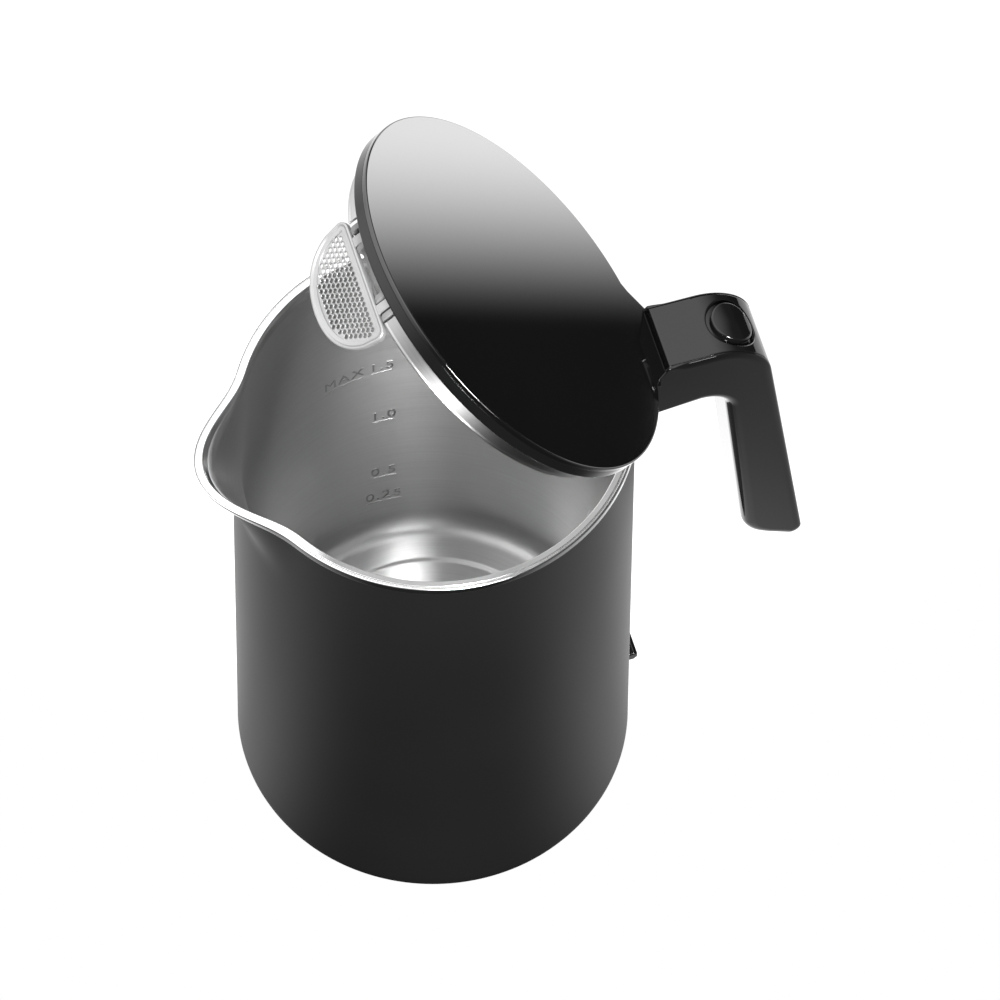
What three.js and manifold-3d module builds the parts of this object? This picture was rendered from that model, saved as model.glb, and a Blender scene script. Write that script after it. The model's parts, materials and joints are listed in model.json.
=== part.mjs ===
// Cordless electric kettle, 1.5 litre, double walled, drawn in millimetres with +Z up.
// The spout points along -X, the handle along +X, and the lid stands open on its hinge.
// Everything is drawn on the axis of the body first; the last lines move the whole kettle
// so that its origin is the bottom centre of its bounding box.

import * as THREE from 'three';
import { mergeVertices } from 'three/addons/utils/BufferGeometryUtils.js';
import Module from 'manifold-3d';

const wasm = await Module();
wasm.setup();

// ---------------------------------------------------------------- driving dimensions
const GAP = 0.3;                          // clearance between pieces that touch
const RAD = Math.PI / 180;
const ROUND = 40;                         // facets round a large turned piece
const BODY_FACETS = 52;                   // facets round the body, drawn closer at the spout
const BUNCH = 0.35;                       // how strongly those facets gather at the spout

const BODY_R = 70;                        // outside of the painted shell
const SHELL_T = 1.4;
const VESSEL_R = 66.9;                    // inside of the steel vessel
const VESSEL_T = 0.9;
const RIM_Z = 222.7;                      // pouring rim above the table
const RIM_H = 3.0;                        // height of the rolled rim
const RIM_R = 71.0;
const FOOT_R = 14;                        // round between wall and underside
const UNDERSIDE_Z = 0.9;
const FLOOR_Z = 33;                       // inside floor of the vessel
const FLOOR_FILLET = 5;

const SPOUT_REACH = 15.5;                 // how far the lip stands out from the rim circle
const SPOUT_SPAN = 64 * RAD;              // the whole angle that the spout takes
const SPOUT_SHARPNESS = 2.4;
const SPOUT_DEPTH = 34;                   // where the spout has blended into the wall

const LID_R = 71.3;
const LID_TOP = RIM_Z + 11.2;             // top of the closed lid
const PLATE_T = 2;
const LID_BAND_T = 6.2;                   // depth of the black edge band
const SKIRT_R = 66.3;
const SKIRT_DEPTH = 14;                   // skirt edge below the lid top
const NECK_HALF = 12.3;                   // half width of the neck that reaches the hinge
const HINGE_X = 78.2;
const HINGE_Z = RIM_Z + 6.96;
const NECK_END_R = 4.8;                   // end of the neck, round about the hinge
const PIN_R = 1.0;
const LID_OPEN = 47.55 * RAD;

const HANDLE_HALF = 13.5;
const COVER_HALF = 12.3;
const COVER_T = 2.6;
const ARM_TOP = RIM_Z + 11.4;
const ARM_BOTTOM = RIM_Z - 17;
const COVER_FRONT = 81.5;                 // front edge of the cover, behind the neck
const BEND = { x: 98, z: RIM_Z - 9.6, r: 21 };
const CROOK = { x: 93.2, z: RIM_Z - 27, r: 10 };
const BACK_LEAN = 6.8 * RAD;
const INNER_LEAN = 5.25 * RAD;
const BACK_CORNER_Z = 95.9;
const INNER_CORNER_Z = 104.3;
const HANDLE_WALL = 2.4;
const HANDLE_SCREW_X = 79;                // screw that holds the arm to its bracket

const BUTTON = { x: 108.2, z: RIM_Z + 8.7, lean: 20 * RAD, r: 8, proud: 1.1 };
const WELL_R = 9.6;

const FILTER_X = -61;                     // plane of the spout filter
const FILTER_HALF = 23.5;
const FILTER_TOP = 15.2;                  // below the lid top
const FILTER_DEPTH = 24.5;

const LEVER_PIVOT = { x: 61, z: 27 };
const STEAM = { circle: 58, angle: -28, r: 3, bore: 2.2, z0: 24, z1: 172 };

// ---------------------------------------------------------------- finishes
const finish = (color, roughness, metalness) =>
  new THREE.MeshStandardMaterial({ color, roughness, metalness });
const blackPaint = finish(0x17171a, 0.55, 0.1);
const glossBlack = finish(0x0a0a0c, 0.08, 0);
const mattBlack = finish(0x1c1c1e, 0.6, 0);
const polished = finish(0xd8d9da, 0.12, 1);
const brushed = finish(0xb4b5b6, 0.35, 1);
const castAlloy = finish(0x9c9fa3, 0.45, 1);
const heaterAlloy = finish(0x77797c, 0.4, 1);
const brass = finish(0xb9974f, 0.3, 1);
const springSteel = finish(0x8f9194, 0.3, 1);
const silicone = finish(0x3a3a3d, 0.8, 0);
const greyPlastic = finish(0xa9aaac, 0.4, 0);
const controlPlastic = finish(0x2c2c30, 0.5, 0);

// ---------------------------------------------------------------- making shapes

/** Points of an arc in a drawing plane, angles in degrees. */
function arc(cx, cz, r, from, to, steps) {
  return Array.from({ length: steps + 1 }, (_, i) => {
    const a = (from + ((to - from) * i) / steps) * RAD;
    return [cx + r * Math.cos(a), cz + r * Math.sin(a)];
  });
}

/** A ring or disc turned about +Z from [radius, height] points, anticlockwise in the drawing. */
function turned(points, facets = ROUND) {
  const profile = points.map(([r, z]) => new THREE.Vector2(r, z));
  return new THREE.LatheGeometry(profile, facets).rotateX(Math.PI / 2);
}

/** A ring whose profile closes on itself. */
const ring = (points, facets) => turned([...points, points[0]], facets);

/** A plain tube standing on z0, with its bore. */
function sleeve(inner, outer, z0, z1, facets = 24) {
  return ring([[inner, z0], [outer, z0], [outer, z1], [inner, z1]], facets);
}

/** A plain disc or round bar. */
const disc = (r, z0, z1, facets = 24) => turned([[0, z0], [r, z0], [r, z1], [0, z1]], facets);

/** A box from its low and high corners. */
function block(x0, x1, y0, y1, z0, z1) {
  return new THREE.BoxGeometry(x1 - x0, y1 - y0, z1 - z0)
    .translate((x0 + x1) / 2, (y0 + y1) / 2, (z0 + z1) / 2);
}

/** A THREE.Shape through straight points. */
function outline(points) {
  return new THREE.Shape(points.map(([x, y]) => new THREE.Vector2(x, y)));
}

/** A side view, drawn in X and Z, made solid between y0 and y1, with rounded long edges. */
function slab(shape, y0, y1, round = 0, curveSegments = 4) {
  const options = { depth: y1 - y0 - 2 * round, curveSegments, bevelEnabled: round > 0 };
  Object.assign(options, { bevelThickness: round, bevelSize: round, bevelOffset: -round });
  options.bevelSegments = 2;
  return new THREE.ExtrudeGeometry(shape, options)
    .rotateX(Math.PI / 2)
    .translate(0, y1 - round, 0);
}

/** A plan view, drawn in X and Y, made solid between z0 and z1. */
function plate(shape, z0, z1, curveSegments = 6) {
  const options = { depth: z1 - z0, curveSegments, bevelEnabled: false };
  return new THREE.ExtrudeGeometry(shape, options).translate(0, 0, z0);
}

/** A round bar along Y. */
const barY = (r, x, z, y0, y1, facets = 16) =>
  disc(r, y0, y1, facets).rotateX(-Math.PI / 2).translate(x, 0, z);

/** A round bar along X. */
const barX = (r, y, z, x0, x1, facets = 12) =>
  disc(r, x0, x1, facets).rotateY(Math.PI / 2).translate(0, y, z);

/** Moves a piece drawn on the body's axis out to a place on a circle about it. */
const at = (geometry, radius, degrees) =>
  geometry.translate(radius * Math.cos(degrees * RAD), radius * Math.sin(degrees * RAD), 0);

/** A wire bent along a curve. */
function wire(curve, r, steps, sides = 6) {
  const section = outline(arc(0, 0, r, 0, 360 - 360 / sides, sides - 1));
  return new THREE.ExtrudeGeometry(section, { steps, extrudePath: curve, bevelEnabled: false });
}

/** A coil spring about +Z from z0 to z1. */
function coil(radius, wireR, z0, z1, turns, sides = 5) {
  const stepsPerTurn = 9;
  const points = Array.from({ length: turns * stepsPerTurn + 1 }, (_, i) => {
    const a = (i / stepsPerTurn) * 2 * Math.PI;
    const z = z0 + ((z1 - z0) * i) / (turns * stepsPerTurn);
    return new THREE.Vector3(radius * Math.cos(a), radius * Math.sin(a), z);
  });
  return wire(new THREE.CatmullRomCurve3(points), wireR, turns * stepsPerTurn, sides);
}

/** Turns a closed three geometry into a solid for joining and cutting. */
function solidOf(geometry) {
  const bare = geometry.clone();
  bare.deleteAttribute('normal');
  bare.deleteAttribute('uv');
  const merged = mergeVertices(bare, 1e-4);
  const index = merged.index.array;
  const faces = [];
  for (let i = 0; i < index.length; i += 3) {
    const [a, b, c] = [index[i], index[i + 1], index[i + 2]];
    if (a !== b && b !== c && c !== a) faces.push(a, b, c);
  }
  return new wasm.Manifold(new wasm.Mesh({
    numProp: 3,
    vertProperties: new Float32Array(merged.attributes.position.array),
    triVerts: new Uint32Array(faces),
  }));
}

function geometryOf(solid) {
  const mesh = solid.getMesh();
  const geometry = new THREE.BufferGeometry();
  geometry.setAttribute('position', new THREE.BufferAttribute(mesh.vertProperties, 3));
  geometry.setIndex(new THREE.BufferAttribute(mesh.triVerts, 1));
  return geometry;
}

const joined = (...pieces) =>
  geometryOf(pieces.map(solidOf).reduce((sum, piece) => sum.add(piece)));
const cut = (base, ...tools) =>
  geometryOf(tools.map(solidOf).reduce((rest, tool) => rest.subtract(tool), solidOf(base)));
const common = (a, b) => geometryOf(solidOf(a).intersect(solidOf(b)));

// ---------------------------------------------------------------- the spout

/**
 * Draws a turned wall out into the pouring spout. Facets first gather towards -X; then each
 * point moves outwards by a rounded lobe over the spout's angle, which dies away below the rim.
 */
function spouted(geometry) {
  const position = geometry.attributes.position;
  for (let i = 0; i < position.count; i += 1) {
    const [x, y, z] = [position.getX(i), position.getY(i), position.getZ(i)];
    const r = Math.hypot(x, y);
    const even = Math.atan2(y, -x);
    const a = even - BUNCH * Math.sin(even);
    const lobe = Math.max(0, Math.cos(Math.min(1, Math.abs(a / SPOUT_SPAN)) * Math.PI));
    const fade = Math.max(0, 1 - Math.max(0, RIM_Z - z) / SPOUT_DEPTH) ** 1.3;
    const reach = r + (r > 1 ? SPOUT_REACH * lobe ** SPOUT_SHARPNESS * fade : 0);
    position.setXY(i, -reach * Math.cos(a), reach * Math.sin(a));
  }
  return geometry;
}

/** Heights at which a wall that carries the spout needs an edge, downwards from its top. */
const spoutLevels = (top) => [top, RIM_Z - 11, RIM_Z - 21, RIM_Z - SPOUT_DEPTH];

// ---------------------------------------------------------------- assembly

const kettle = new THREE.Group();
const lid = new THREE.Group();
kettle.add(lid);

/** Adds one named piece. A moving piece is drawn in place, then hung on its pivot's group. */
function add(name, material, geometry, group = kettle) {
  const mesh = new THREE.Mesh(geometry, material);
  mesh.name = name;
  group.add(mesh);
}

const addToLid = (name, material, geometry) =>
  add(name, material, geometry.translate(-HINGE_X, 0, -HINGE_Z), lid);

// ---------------------------------------------------------------- body

const WALL_TOP = RIM_Z - RIM_H - GAP;
const SHELL_IN = BODY_R - SHELL_T;
const LEVER_WINDOW = block(60, 80, -7.6, 7.6, 21.2, 30.6);
const BRACKET_SCREWS = [-4.8, 4.8].map((y) => ({ y, z: RIM_Z - 7 }));

function outerShell() {
  const centre = [BODY_R - FOOT_R, UNDERSIDE_Z + FOOT_R];
  const levels = spoutLevels(WALL_TOP);
  const outside = [...arc(...centre, FOOT_R, -90, 0, 5), ...levels.toReversed().map((z) => [BODY_R, z])];
  const inside = [
    ...levels.map((z) => [SHELL_IN, z]),
    ...arc(...centre, FOOT_R - SHELL_T, 0, -90, 4),
  ];
  const screwHoles = BRACKET_SCREWS.map(({ y, z }) => barX(2.1, y, z, 60, 80));
  return cut(spouted(ring([...outside, ...inside], BODY_FACETS)), LEVER_WINDOW, ...screwHoles);
}

function innerVessel() {
  const out = VESSEL_R + VESSEL_T;
  const bottom = FLOOR_Z - 1.2;
  const levels = spoutLevels(WALL_TOP);
  const wall = [
    [0, bottom],
    ...arc(out - 6, bottom + 6, 6, -90, 0, 3),
    ...levels.toReversed().map((z) => [out, z]),
    ...levels.map((z) => [VESSEL_R, z]),
    ...arc(VESSEL_R - FLOOR_FILLET, FLOOR_Z + FLOOR_FILLET, FLOOR_FILLET, 0, -90, 3),
    [0, FLOOR_Z],
  ];
  const steamHole = at(disc(STEAM.r + GAP, 20, 45, 16), STEAM.circle, STEAM.angle);
  return cut(spouted(turned(wall, BODY_FACETS)), steamHole);
}

function rimRing() {
  const [low, top] = [RIM_Z - RIM_H, RIM_Z];
  const [inner, outer] = [VESSEL_R + 0.2, RIM_R];
  return spouted(ring([
    [inner, low], [outer - 0.3, low], [outer, low + 0.8], [outer, top - 0.6],
    [outer - 0.6, top], [inner + 0.7, top], [inner, top - 0.6],
  ], BODY_FACETS));
}

add('outer_shell', blackPaint, outerShell());
add('inner_vessel', brushed, innerVessel());
add('rim_ring', polished, rimRing());
add('steam_tube', brushed,
  at(sleeve(STEAM.bore, STEAM.r, STEAM.z0, STEAM.z1, 12), STEAM.circle, STEAM.angle));
add('steam_tube_seal', silicone,
  at(sleeve(STEAM.r + 0.25, STEAM.r + 0.9, FLOOR_Z + GAP, FLOOR_Z + 2.2, 12), STEAM.circle, STEAM.angle));

// ---------------------------------------------------------------- base

const COVER_R = BODY_R - FOOT_R - GAP;
const COVER_TOP = 4;
const SOCKET_R = 17;
const SCREW_CIRCLE = 47;
const SCREW_ANGLES = [60, 180, 300];
const FOOT_ANGLES = [0, 120, 240];
const FOOT_CIRCLE = 44;

function baseCover() {
  const pan = ring([
    [SOCKET_R + GAP, UNDERSIDE_Z], [COVER_R, UNDERSIDE_Z], [COVER_R, COVER_TOP],
    [SOCKET_R + GAP, COVER_TOP],
  ], ROUND);
  const screwHoles = SCREW_ANGLES.flatMap((a) => [
    at(disc(1.8, 0, 6, 10), SCREW_CIRCLE, a),
    at(disc(3.4, 0, 2.6, 12), SCREW_CIRCLE, a),
  ]);
  const footPockets = FOOT_ANGLES.map((a) => at(disc(6.3, 0, 2.4, 16), FOOT_CIRCLE, a));
  return cut(pan, ...screwHoles, ...footPockets);
}

/** Ring frame that carries the vessel, with a boss for each base screw and a lever window. */
function baseChassis() {
  const wall = sleeve(52, 54.6, COVER_TOP + GAP, FLOOR_Z - 1.8, ROUND);
  const bosses = SCREW_ANGLES.map((a) => at(disc(4, COVER_TOP + GAP, 16, 10), SCREW_CIRCLE, a));
  const webs = SCREW_ANGLES.map((a) =>
    block(48, 53, -1.5, 1.5, COVER_TOP + GAP, 16).rotateZ(a * RAD));
  const holes = SCREW_ANGLES.map((a) => at(disc(1.8, 0, 14, 8), SCREW_CIRCLE, a));
  const leverGap = block(45, 60, -9, 9, 18, 40);
  return cut(joined(wall, ...bosses, ...webs), ...holes, leverGap);
}

/** Pan head with its shank, standing point upwards from z. */
const baseScrew = (z) => {
  const head = [[0, z], [3, z], [3, z + 1.3]];
  const shank = [[1.4, z + 1.3], [1.4, z + 11], [0, z + 12]];
  return turned([...head, ...shank], 8);
};

function heatingElement() {
  const bend = new THREE.EllipseCurve(0, 0, 37, 37, 25 * RAD, 335 * RAD);
  const points = bend.getPoints(26).map(({ x, y }) => new THREE.Vector3(x, y, FLOOR_Z - 8));
  return wire(new THREE.CatmullRomCurve3(points), 3.1, 26, 8);
}

function connectorSocket() {
  const [inner, roof] = [13.4, 15.6];
  return turned([
    [0, roof],
    [inner, roof],
    [inner, UNDERSIDE_Z],
    [SOCKET_R, UNDERSIDE_Z],
    [SOCKET_R, roof + 2],
    [0, roof + 2],
  ], 28);
}

add('base_cover', mattBlack, baseCover());
add('base_chassis', controlPlastic, baseChassis());
add('heating_plate', castAlloy, disc(49.5, FLOOR_Z - 4.3, FLOOR_Z - 1.5, 32));
add('heating_element', heaterAlloy, heatingElement());
add('connector_socket', controlPlastic, connectorSocket());
add('centre_contact', brass, turned([[0, 5], [2.2, 5], [3, 6.5], [3, 15.3], [0, 15.3]], 12));
add('thermal_control', controlPlastic, block(-20, 29, -16, 16, 17.9, 23.4));
[-9, 9].forEach((y, i) => add(`cutout_bimetal_${i + 1}`, springSteel,
  turned([[0, 24.6], [7, 23.8], [7, 24.4], [0, 25.2]], 14).translate(8, y, 0)));
[-1, 1].forEach((side, i) => add(`element_terminal_${i + 1}`, brass,
  block(29.6, 36, side * 15.5 - 1.5, side * 15.5 + 1.5, 18.2, 21.4)));
SCREW_ANGLES.forEach((a, i) => add(`base_screw_${i + 1}`, springSteel,
  at(baseScrew(UNDERSIDE_Z + 0.1), SCREW_CIRCLE, a)));
FOOT_ANGLES.forEach((a, i) => add(`foot_${i + 1}`, silicone,
  at(turned([[0, 0], [5.2, 0], [6, 0.8], [6, 2.1], [0, 2.1]], 16), FOOT_CIRCLE, a)));

// ---------------------------------------------------------------- power lever

function powerLever() {
  const { x, z } = LEVER_PIVOT;
  const side = outline([
    [x - 4, z - 1.6], [x + 7, z - 2.2], [x + 11.6, z - 2.4], [x + 13.6, z - 1.4],
    [x + 13.8, z + 0.8], [x + 12, z + 2], [x + 7, z + 1.9], [x - 4, z + 1.6],
  ]);
  return cut(slab(side, -7, 7), barY(1.4, x, z, -9, 9, 12));
}

add('power_lever', glossBlack, powerLever());
add('lever_pin', springSteel, barY(1.1, LEVER_PIVOT.x, LEVER_PIVOT.z, -8.7, 8.7, 10));
add('steam_switch', controlPlastic, joined(
  block(55.6, 66, -12, -9.2, 18, 29), block(55.6, 66, 9.2, 12, 18, 29),
  block(55.6, 66, -12, 12, 18, 20)));
add('steam_bimetal', springSteel, at(disc(3.1, 22, 22.6, 12), STEAM.circle, STEAM.angle));

// ---------------------------------------------------------------- handle

/** Where a line from p along d meets a line from q along e. */
function meet(p, d, q, e) {
  const t = ((q[0] - p[0]) * e[1] - (q[1] - p[1]) * e[0]) / (d[0] * e[1] - d[1] * e[0]);
  return [p[0] + t * d[0], p[1] + t * d[1]];
}

const backDown = [Math.sin(BACK_LEAN), -Math.cos(BACK_LEAN)];
const innerDown = [Math.sin(INNER_LEAN), -Math.cos(INNER_LEAN)];
const backStart = (inset) => [
  BEND.x + (BEND.r - inset) * Math.cos(BACK_LEAN),
  BEND.z + (BEND.r - inset) * Math.sin(BACK_LEAN),
];
const innerStart = (inset) => [
  CROOK.x + (CROOK.r + inset) * Math.cos(INNER_LEAN),
  CROOK.z + (CROOK.r + inset) * Math.sin(INNER_LEAN),
];
const level = [1, 0];
const backCorner = meet(backStart(0), backDown, [0, BACK_CORNER_Z], level);
const innerCorner = meet(innerStart(0), innerDown, [0, INNER_CORNER_Z], level);
const endLength = Math.hypot(innerCorner[0] - backCorner[0], innerCorner[1] - backCorner[1]);
const alongEnd = [0, 1].map((k) => (innerCorner[k] - backCorner[k]) / endLength);

/** Side view of the handle, drawn inset all round; the front is left to its caller. */
function handleSide(inset, front) {
  const endPoint = [backCorner[0] + inset * alongEnd[1], backCorner[1] - inset * alongEnd[0]];
  const back = meet(backStart(inset), backDown, endPoint, alongEnd);
  const inner = meet(innerStart(inset), innerDown, endPoint, alongEnd);
  const soft = 9 - inset;
  const step = (p, d, s) => [p[0] + s * d[0], p[1] + s * d[1]];
  const shape = new THREE.Shape();
  shape.moveTo(...front[0]);
  front.slice(1).forEach((p) => shape.lineTo(...p));
  shape.absarc(BEND.x, BEND.z, BEND.r - inset, 90 * RAD, BACK_LEAN, true);
  shape.lineTo(...step(back, backDown, -soft));
  shape.quadraticCurveTo(...back, ...step(back, alongEnd, soft));
  shape.lineTo(...step(inner, alongEnd, -soft));
  shape.quadraticCurveTo(...inner, ...step(inner, innerDown, -soft));
  shape.absarc(CROOK.x, CROOK.z, CROOK.r + inset, INNER_LEAN, 90 * RAD, false);
  return shape;
}

/** Side view of a strip along the handle's top and back, between two depths. */
function topStrip(outer, inner, frontX, endZ) {
  const foot = (inset) => meet(backStart(inset), backDown, [0, endZ], level);
  const shape = new THREE.Shape();
  shape.moveTo(frontX, ARM_TOP - inner);
  shape.lineTo(frontX, ARM_TOP - outer);
  shape.absarc(BEND.x, BEND.z, BEND.r - outer, 90 * RAD, BACK_LEAN, true);
  shape.lineTo(...foot(outer));
  shape.lineTo(...foot(inner));
  shape.absarc(BEND.x, BEND.z, BEND.r - inner, BACK_LEAN, 90 * RAD, false);
  return shape;
}

/** Moves a piece drawn about +Z onto the button's axis, z = 0 at the handle's surface. */
const onButtonAxis = (geometry) => geometry.rotateY(BUTTON.lean).translate(BUTTON.x, 0, BUTTON.z);

const SEAT_Z = RIM_Z + 1.6;                // top of the arm under the lid's neck
const STRIP_END_Z = 103;
const bodyTool = turned([
  [0, 0], [BODY_R + 0.4, 0], [BODY_R + 0.4, WALL_TOP - GAP], [RIM_R + 0.4, WALL_TOP - GAP],
  [RIM_R + 0.4, 300], [0, 300],
], 120);
const neckTool = barY(NECK_END_R + 0.4, HINGE_X, HINGE_Z, -COVER_HALF - 0.35, COVER_HALF + 0.35, 32);

function handleShell() {
  const front = [
    [64, ARM_BOTTOM], [64, SEAT_Z], [77.9, SEAT_Z], [77.9, ARM_TOP - 4.2], [COVER_FRONT, ARM_TOP],
  ];
  const hollowFront = [[60, ARM_BOTTOM + HANDLE_WALL], [60, ARM_TOP - HANDLE_WALL]];
  const half = HANDLE_HALF;
  const hollow = slab(handleSide(HANDLE_WALL, hollowFront), -half + 2.3, half - 2.3);
  const rebate = slab(topStrip(-6, COVER_T + GAP, 60, STRIP_END_Z - GAP), -12.6, 12.6);
  const screwHole = joined(disc(1.8, 190, 215, 10), disc(3.4, 190, 207.6, 12))
    .translate(HANDLE_SCREW_X, 0, 0);
  return cut(slab(handleSide(0, front), -half, half, 2.4), hollow, rebate, bodyTool, neckTool,
    screwHole);
}

function handleCover() {
  const strip = slab(topStrip(0, COVER_T, 79, STRIP_END_Z), -COVER_HALF, COVER_HALF, 0, 5);
  const tool = barY(NECK_END_R + 0.4, HINGE_X, HINGE_Z, -15, 15, 32);
  return cut(strip, tool, onButtonAxis(disc(WELL_R, -30, 30, 28)));
}

/** Bent steel plate inside the arm: a flange on the shell, a tongue, and two ears for the pin. */
function handleBracket() {
  const tongueZ = RIM_Z - 12;
  const flange = block(68, 73.4, -10.6, 10.6, tongueZ - 2, WALL_TOP - 1);
  const tongue = block(71, 98, -10.4, 10.4, tongueZ, tongueZ + 1.8);
  const earSide = outline([
    [73, tongueZ + 1], [83, tongueZ + 1], [80.6, RIM_Z + 1], [HINGE_X + 2, HINGE_Z],
    ...arc(HINGE_X, HINGE_Z, 2, 30, 150, 3), [HINGE_X - 2, HINGE_Z], [76, RIM_Z + 1],
  ]);
  const ears = [-10.4, 8.6].map((y) => slab(earSide, y, y + 1.8));
  const screws = BRACKET_SCREWS.map(({ y, z }) => barX(2.1, y, z, 60, 80));
  const pinHole = barY(PIN_R + GAP, HINGE_X, HINGE_Z, -20, 20, 12);
  const handleHole = disc(1.8, 190, 215, 10).translate(HANDLE_SCREW_X, 0, 0);
  return cut(joined(flange, tongue, ...ears), bodyTool, ...screws, pinHole, handleHole);
}

function releaseButton() {
  const cap = common(
    onButtonAxis(disc(BUTTON.r, -5, 6, 24)),
    slab(handleSide(-BUTTON.proud, [[70, ARM_BOTTOM - 20], [70, ARM_TOP + BUTTON.proud]]), -15, 15),
  );
  return joined(cap, onButtonAxis(disc(2.8, -12.5, -4, 10)));
}

/** Cup under the cover that guides the button, with a floor for its spring. */
function buttonGuide() {
  const cup = onButtonAxis(ring([
    [3.2, -12], [9.2, -12], [9.2, 4], [BUTTON.r + GAP, 4], [BUTTON.r + GAP, -10.6], [3.2, -10.6],
  ], 24));
  return common(cup, slab(handleSide(1.7, [[70, ARM_BOTTOM - 20], [70, ARM_TOP - 1.7]]), -15, 15));
}

/** Slide that runs from under the button to the hinge, with its nose behind the neck. */
function latchSlide() {
  const [low, high] = [RIM_Z - 9.6, RIM_Z - 7];
  return slab(outline([
    [83.6, low], [107, low], [107, high + 1.6], [105.4, high + 1.6], [103.8, high], [86.2, high],
    [86.2, RIM_Z + 7.2], [85, RIM_Z + 7.9], [83.6, RIM_Z + 7.2],
  ]), -5, 5);
}

add('handle_shell', glossBlack, handleShell());
add('handle_cover', glossBlack, handleCover());
add('handle_bracket', brushed, handleBracket());
BRACKET_SCREWS.forEach(({ y, z }, i) => add(`bracket_screw_${i + 1}`, springSteel,
  joined(barX(1.7, y, z, 68.6, 75), barX(2.7, y, z, 73.8, 75.4))));
add('handle_screw', springSteel,
  turned([[0, 206.1], [3, 206.1], [3, 207.3], [1.4, 207.3], [1.4, 213.4], [0, 214]], 10)
    .translate(HANDLE_SCREW_X, 0, 0));
add('release_button', glossBlack, releaseButton());
add('button_guide', mattBlack, buttonGuide());
add('button_spring', springSteel, onButtonAxis(coil(4.3, 0.45, -9.8, -5.8, 3)));
add('latch_slide', controlPlastic, latchSlide());
add('hinge_pin', polished, barY(PIN_R, HINGE_X, HINGE_Z, -10.4, 10.4, 10));

// ---------------------------------------------------------------- lid

/** Plan of the lid: a disc whose neck leaves it in two hollow curves. */
function lidPlan(discR, half, endX) {
  const shoulder = Math.asin(18.5 / LID_R);
  const [sx, sy] = [discR * Math.cos(shoulder), 18.5 - (LID_R - discR)];
  const shape = new THREE.Shape();
  shape.moveTo(endX, -half);
  shape.lineTo(endX, half);
  shape.lineTo(80, half);
  shape.quadraticCurveTo(75.5, half + 0.4, 73, (half + sy) / 2 + 0.6);
  shape.lineTo(sx, sy);
  shape.absarc(0, 0, discR, Math.atan2(sy, sx), 2 * Math.PI - Math.atan2(sy, sx), false);
  shape.lineTo(73, -(half + sy) / 2 - 0.6);
  shape.quadraticCurveTo(75.5, -half - 0.4, 80, -half);
  return shape;
}

const LID_ARC = 26;                       // half the facets round the lid's edge
const planEnd = HINGE_X + 8;
const beyondNeck = cut(
  block(HINGE_X, HINGE_X + 20, -40, 40, HINGE_Z - 20, HINGE_Z + 20),
  barY(NECK_END_R, HINGE_X, HINGE_Z, -50, 50, 32));

function lidPlate() {
  const plan = lidPlan(LID_R - 1.2, NECK_HALF, planEnd);
  return cut(plate(plan, LID_TOP - PLATE_T, LID_TOP, LID_ARC), beyondNeck);
}

/** Edge band, flange and hinge knuckles of the lid, open underneath. */
function lidHousing() {
  const top = LID_TOP - PLATE_T - GAP;
  const low = LID_TOP - LID_BAND_T;
  const body = plate(lidPlan(LID_R, NECK_HALF, planEnd), low, top, LID_ARC);
  const hollowDisc = disc(62, low - 1, top - 1.4, ROUND);
  const hollowNeck = block(60, HINGE_X + 3.2, -10.9, 10.9, low - 1, top + 1);
  const knuckles = [-8.3, 3].map((y) => joined(
    barY(1.9, HINGE_X, HINGE_Z, y, y + 5.3, 16),
    block(58, HINGE_X, y, y + 5.3, HINGE_Z - 1.8, HINGE_Z + 1.2)));
  const rearLip = block(HINGE_X, HINGE_X + 10, -30, 30, low - 5, HINGE_Z + 0.8);
  return cut(joined(cut(body, hollowDisc, hollowNeck, beyondNeck, rearLip), ...knuckles),
    barY(PIN_R + GAP, HINGE_X, HINGE_Z, -20, 20, 12));
}

const SKIRT_TOP = LID_TOP - LID_BAND_T - GAP;
const BRACKET_HALF = 20;

function lidSkirt() {
  const wall = sleeve(SKIRT_R - 0.9, SKIRT_R, LID_TOP - SKIRT_DEPTH, SKIRT_TOP, ROUND);
  return cut(wall, block(-80, -55, -BRACKET_HALF - 1, BRACKET_HALF + 1, RIM_Z - 20, RIM_Z + 20));
}

/** Steel pan that closes the underside of the lid. */
function lidPan() {
  const floor = LID_TOP - SKIRT_DEPTH + 1;
  return cut(turned([
    [0, floor], [63.4, floor], [64.8, floor + 1.2], [64.8, SKIRT_TOP], [64, SKIRT_TOP],
    [64, floor + 1.6], [63, floor + 0.9], [0, floor + 0.9],
  ], ROUND), block(-80, FILTER_X + 5.3, -BRACKET_HALF - 1.2, BRACKET_HALF + 1.2, RIM_Z - 20, RIM_Z + 20));
}

const prongs = [-14, 14];

function filterHolder() {
  const x = FILTER_X;
  const depth = [LID_TOP - FILTER_TOP + GAP, SKIRT_TOP];
  const box = block(x - 1.9, x + 4.8, -BRACKET_HALF, BRACKET_HALF, ...depth);
  const slotTop = SKIRT_TOP - 1.6;
  const slots = prongs.map((y) => block(x - 1.2, x + 1.2, y - 2.3, y + 2.3, depth[0] - 5, slotTop));
  return cut(common(box, disc(SKIRT_R - 1.2, ...depth, ROUND)), ...slots);
}

addToLid('lid_plate', glossBlack, lidPlate());
addToLid('lid_housing', glossBlack, lidHousing());
addToLid('lid_skirt', brushed, lidSkirt());
addToLid('lid_pan', brushed, lidPan());
addToLid('filter_holder', greyPlastic, filterHolder());
addToLid('hinge_spring', springSteel,
  coil(1.6, 0.28, -2.2, 2.2, 3).rotateX(Math.PI / 2).translate(HINGE_X, 0, HINGE_Z));

// ---------------------------------------------------------------- spout filter

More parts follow.
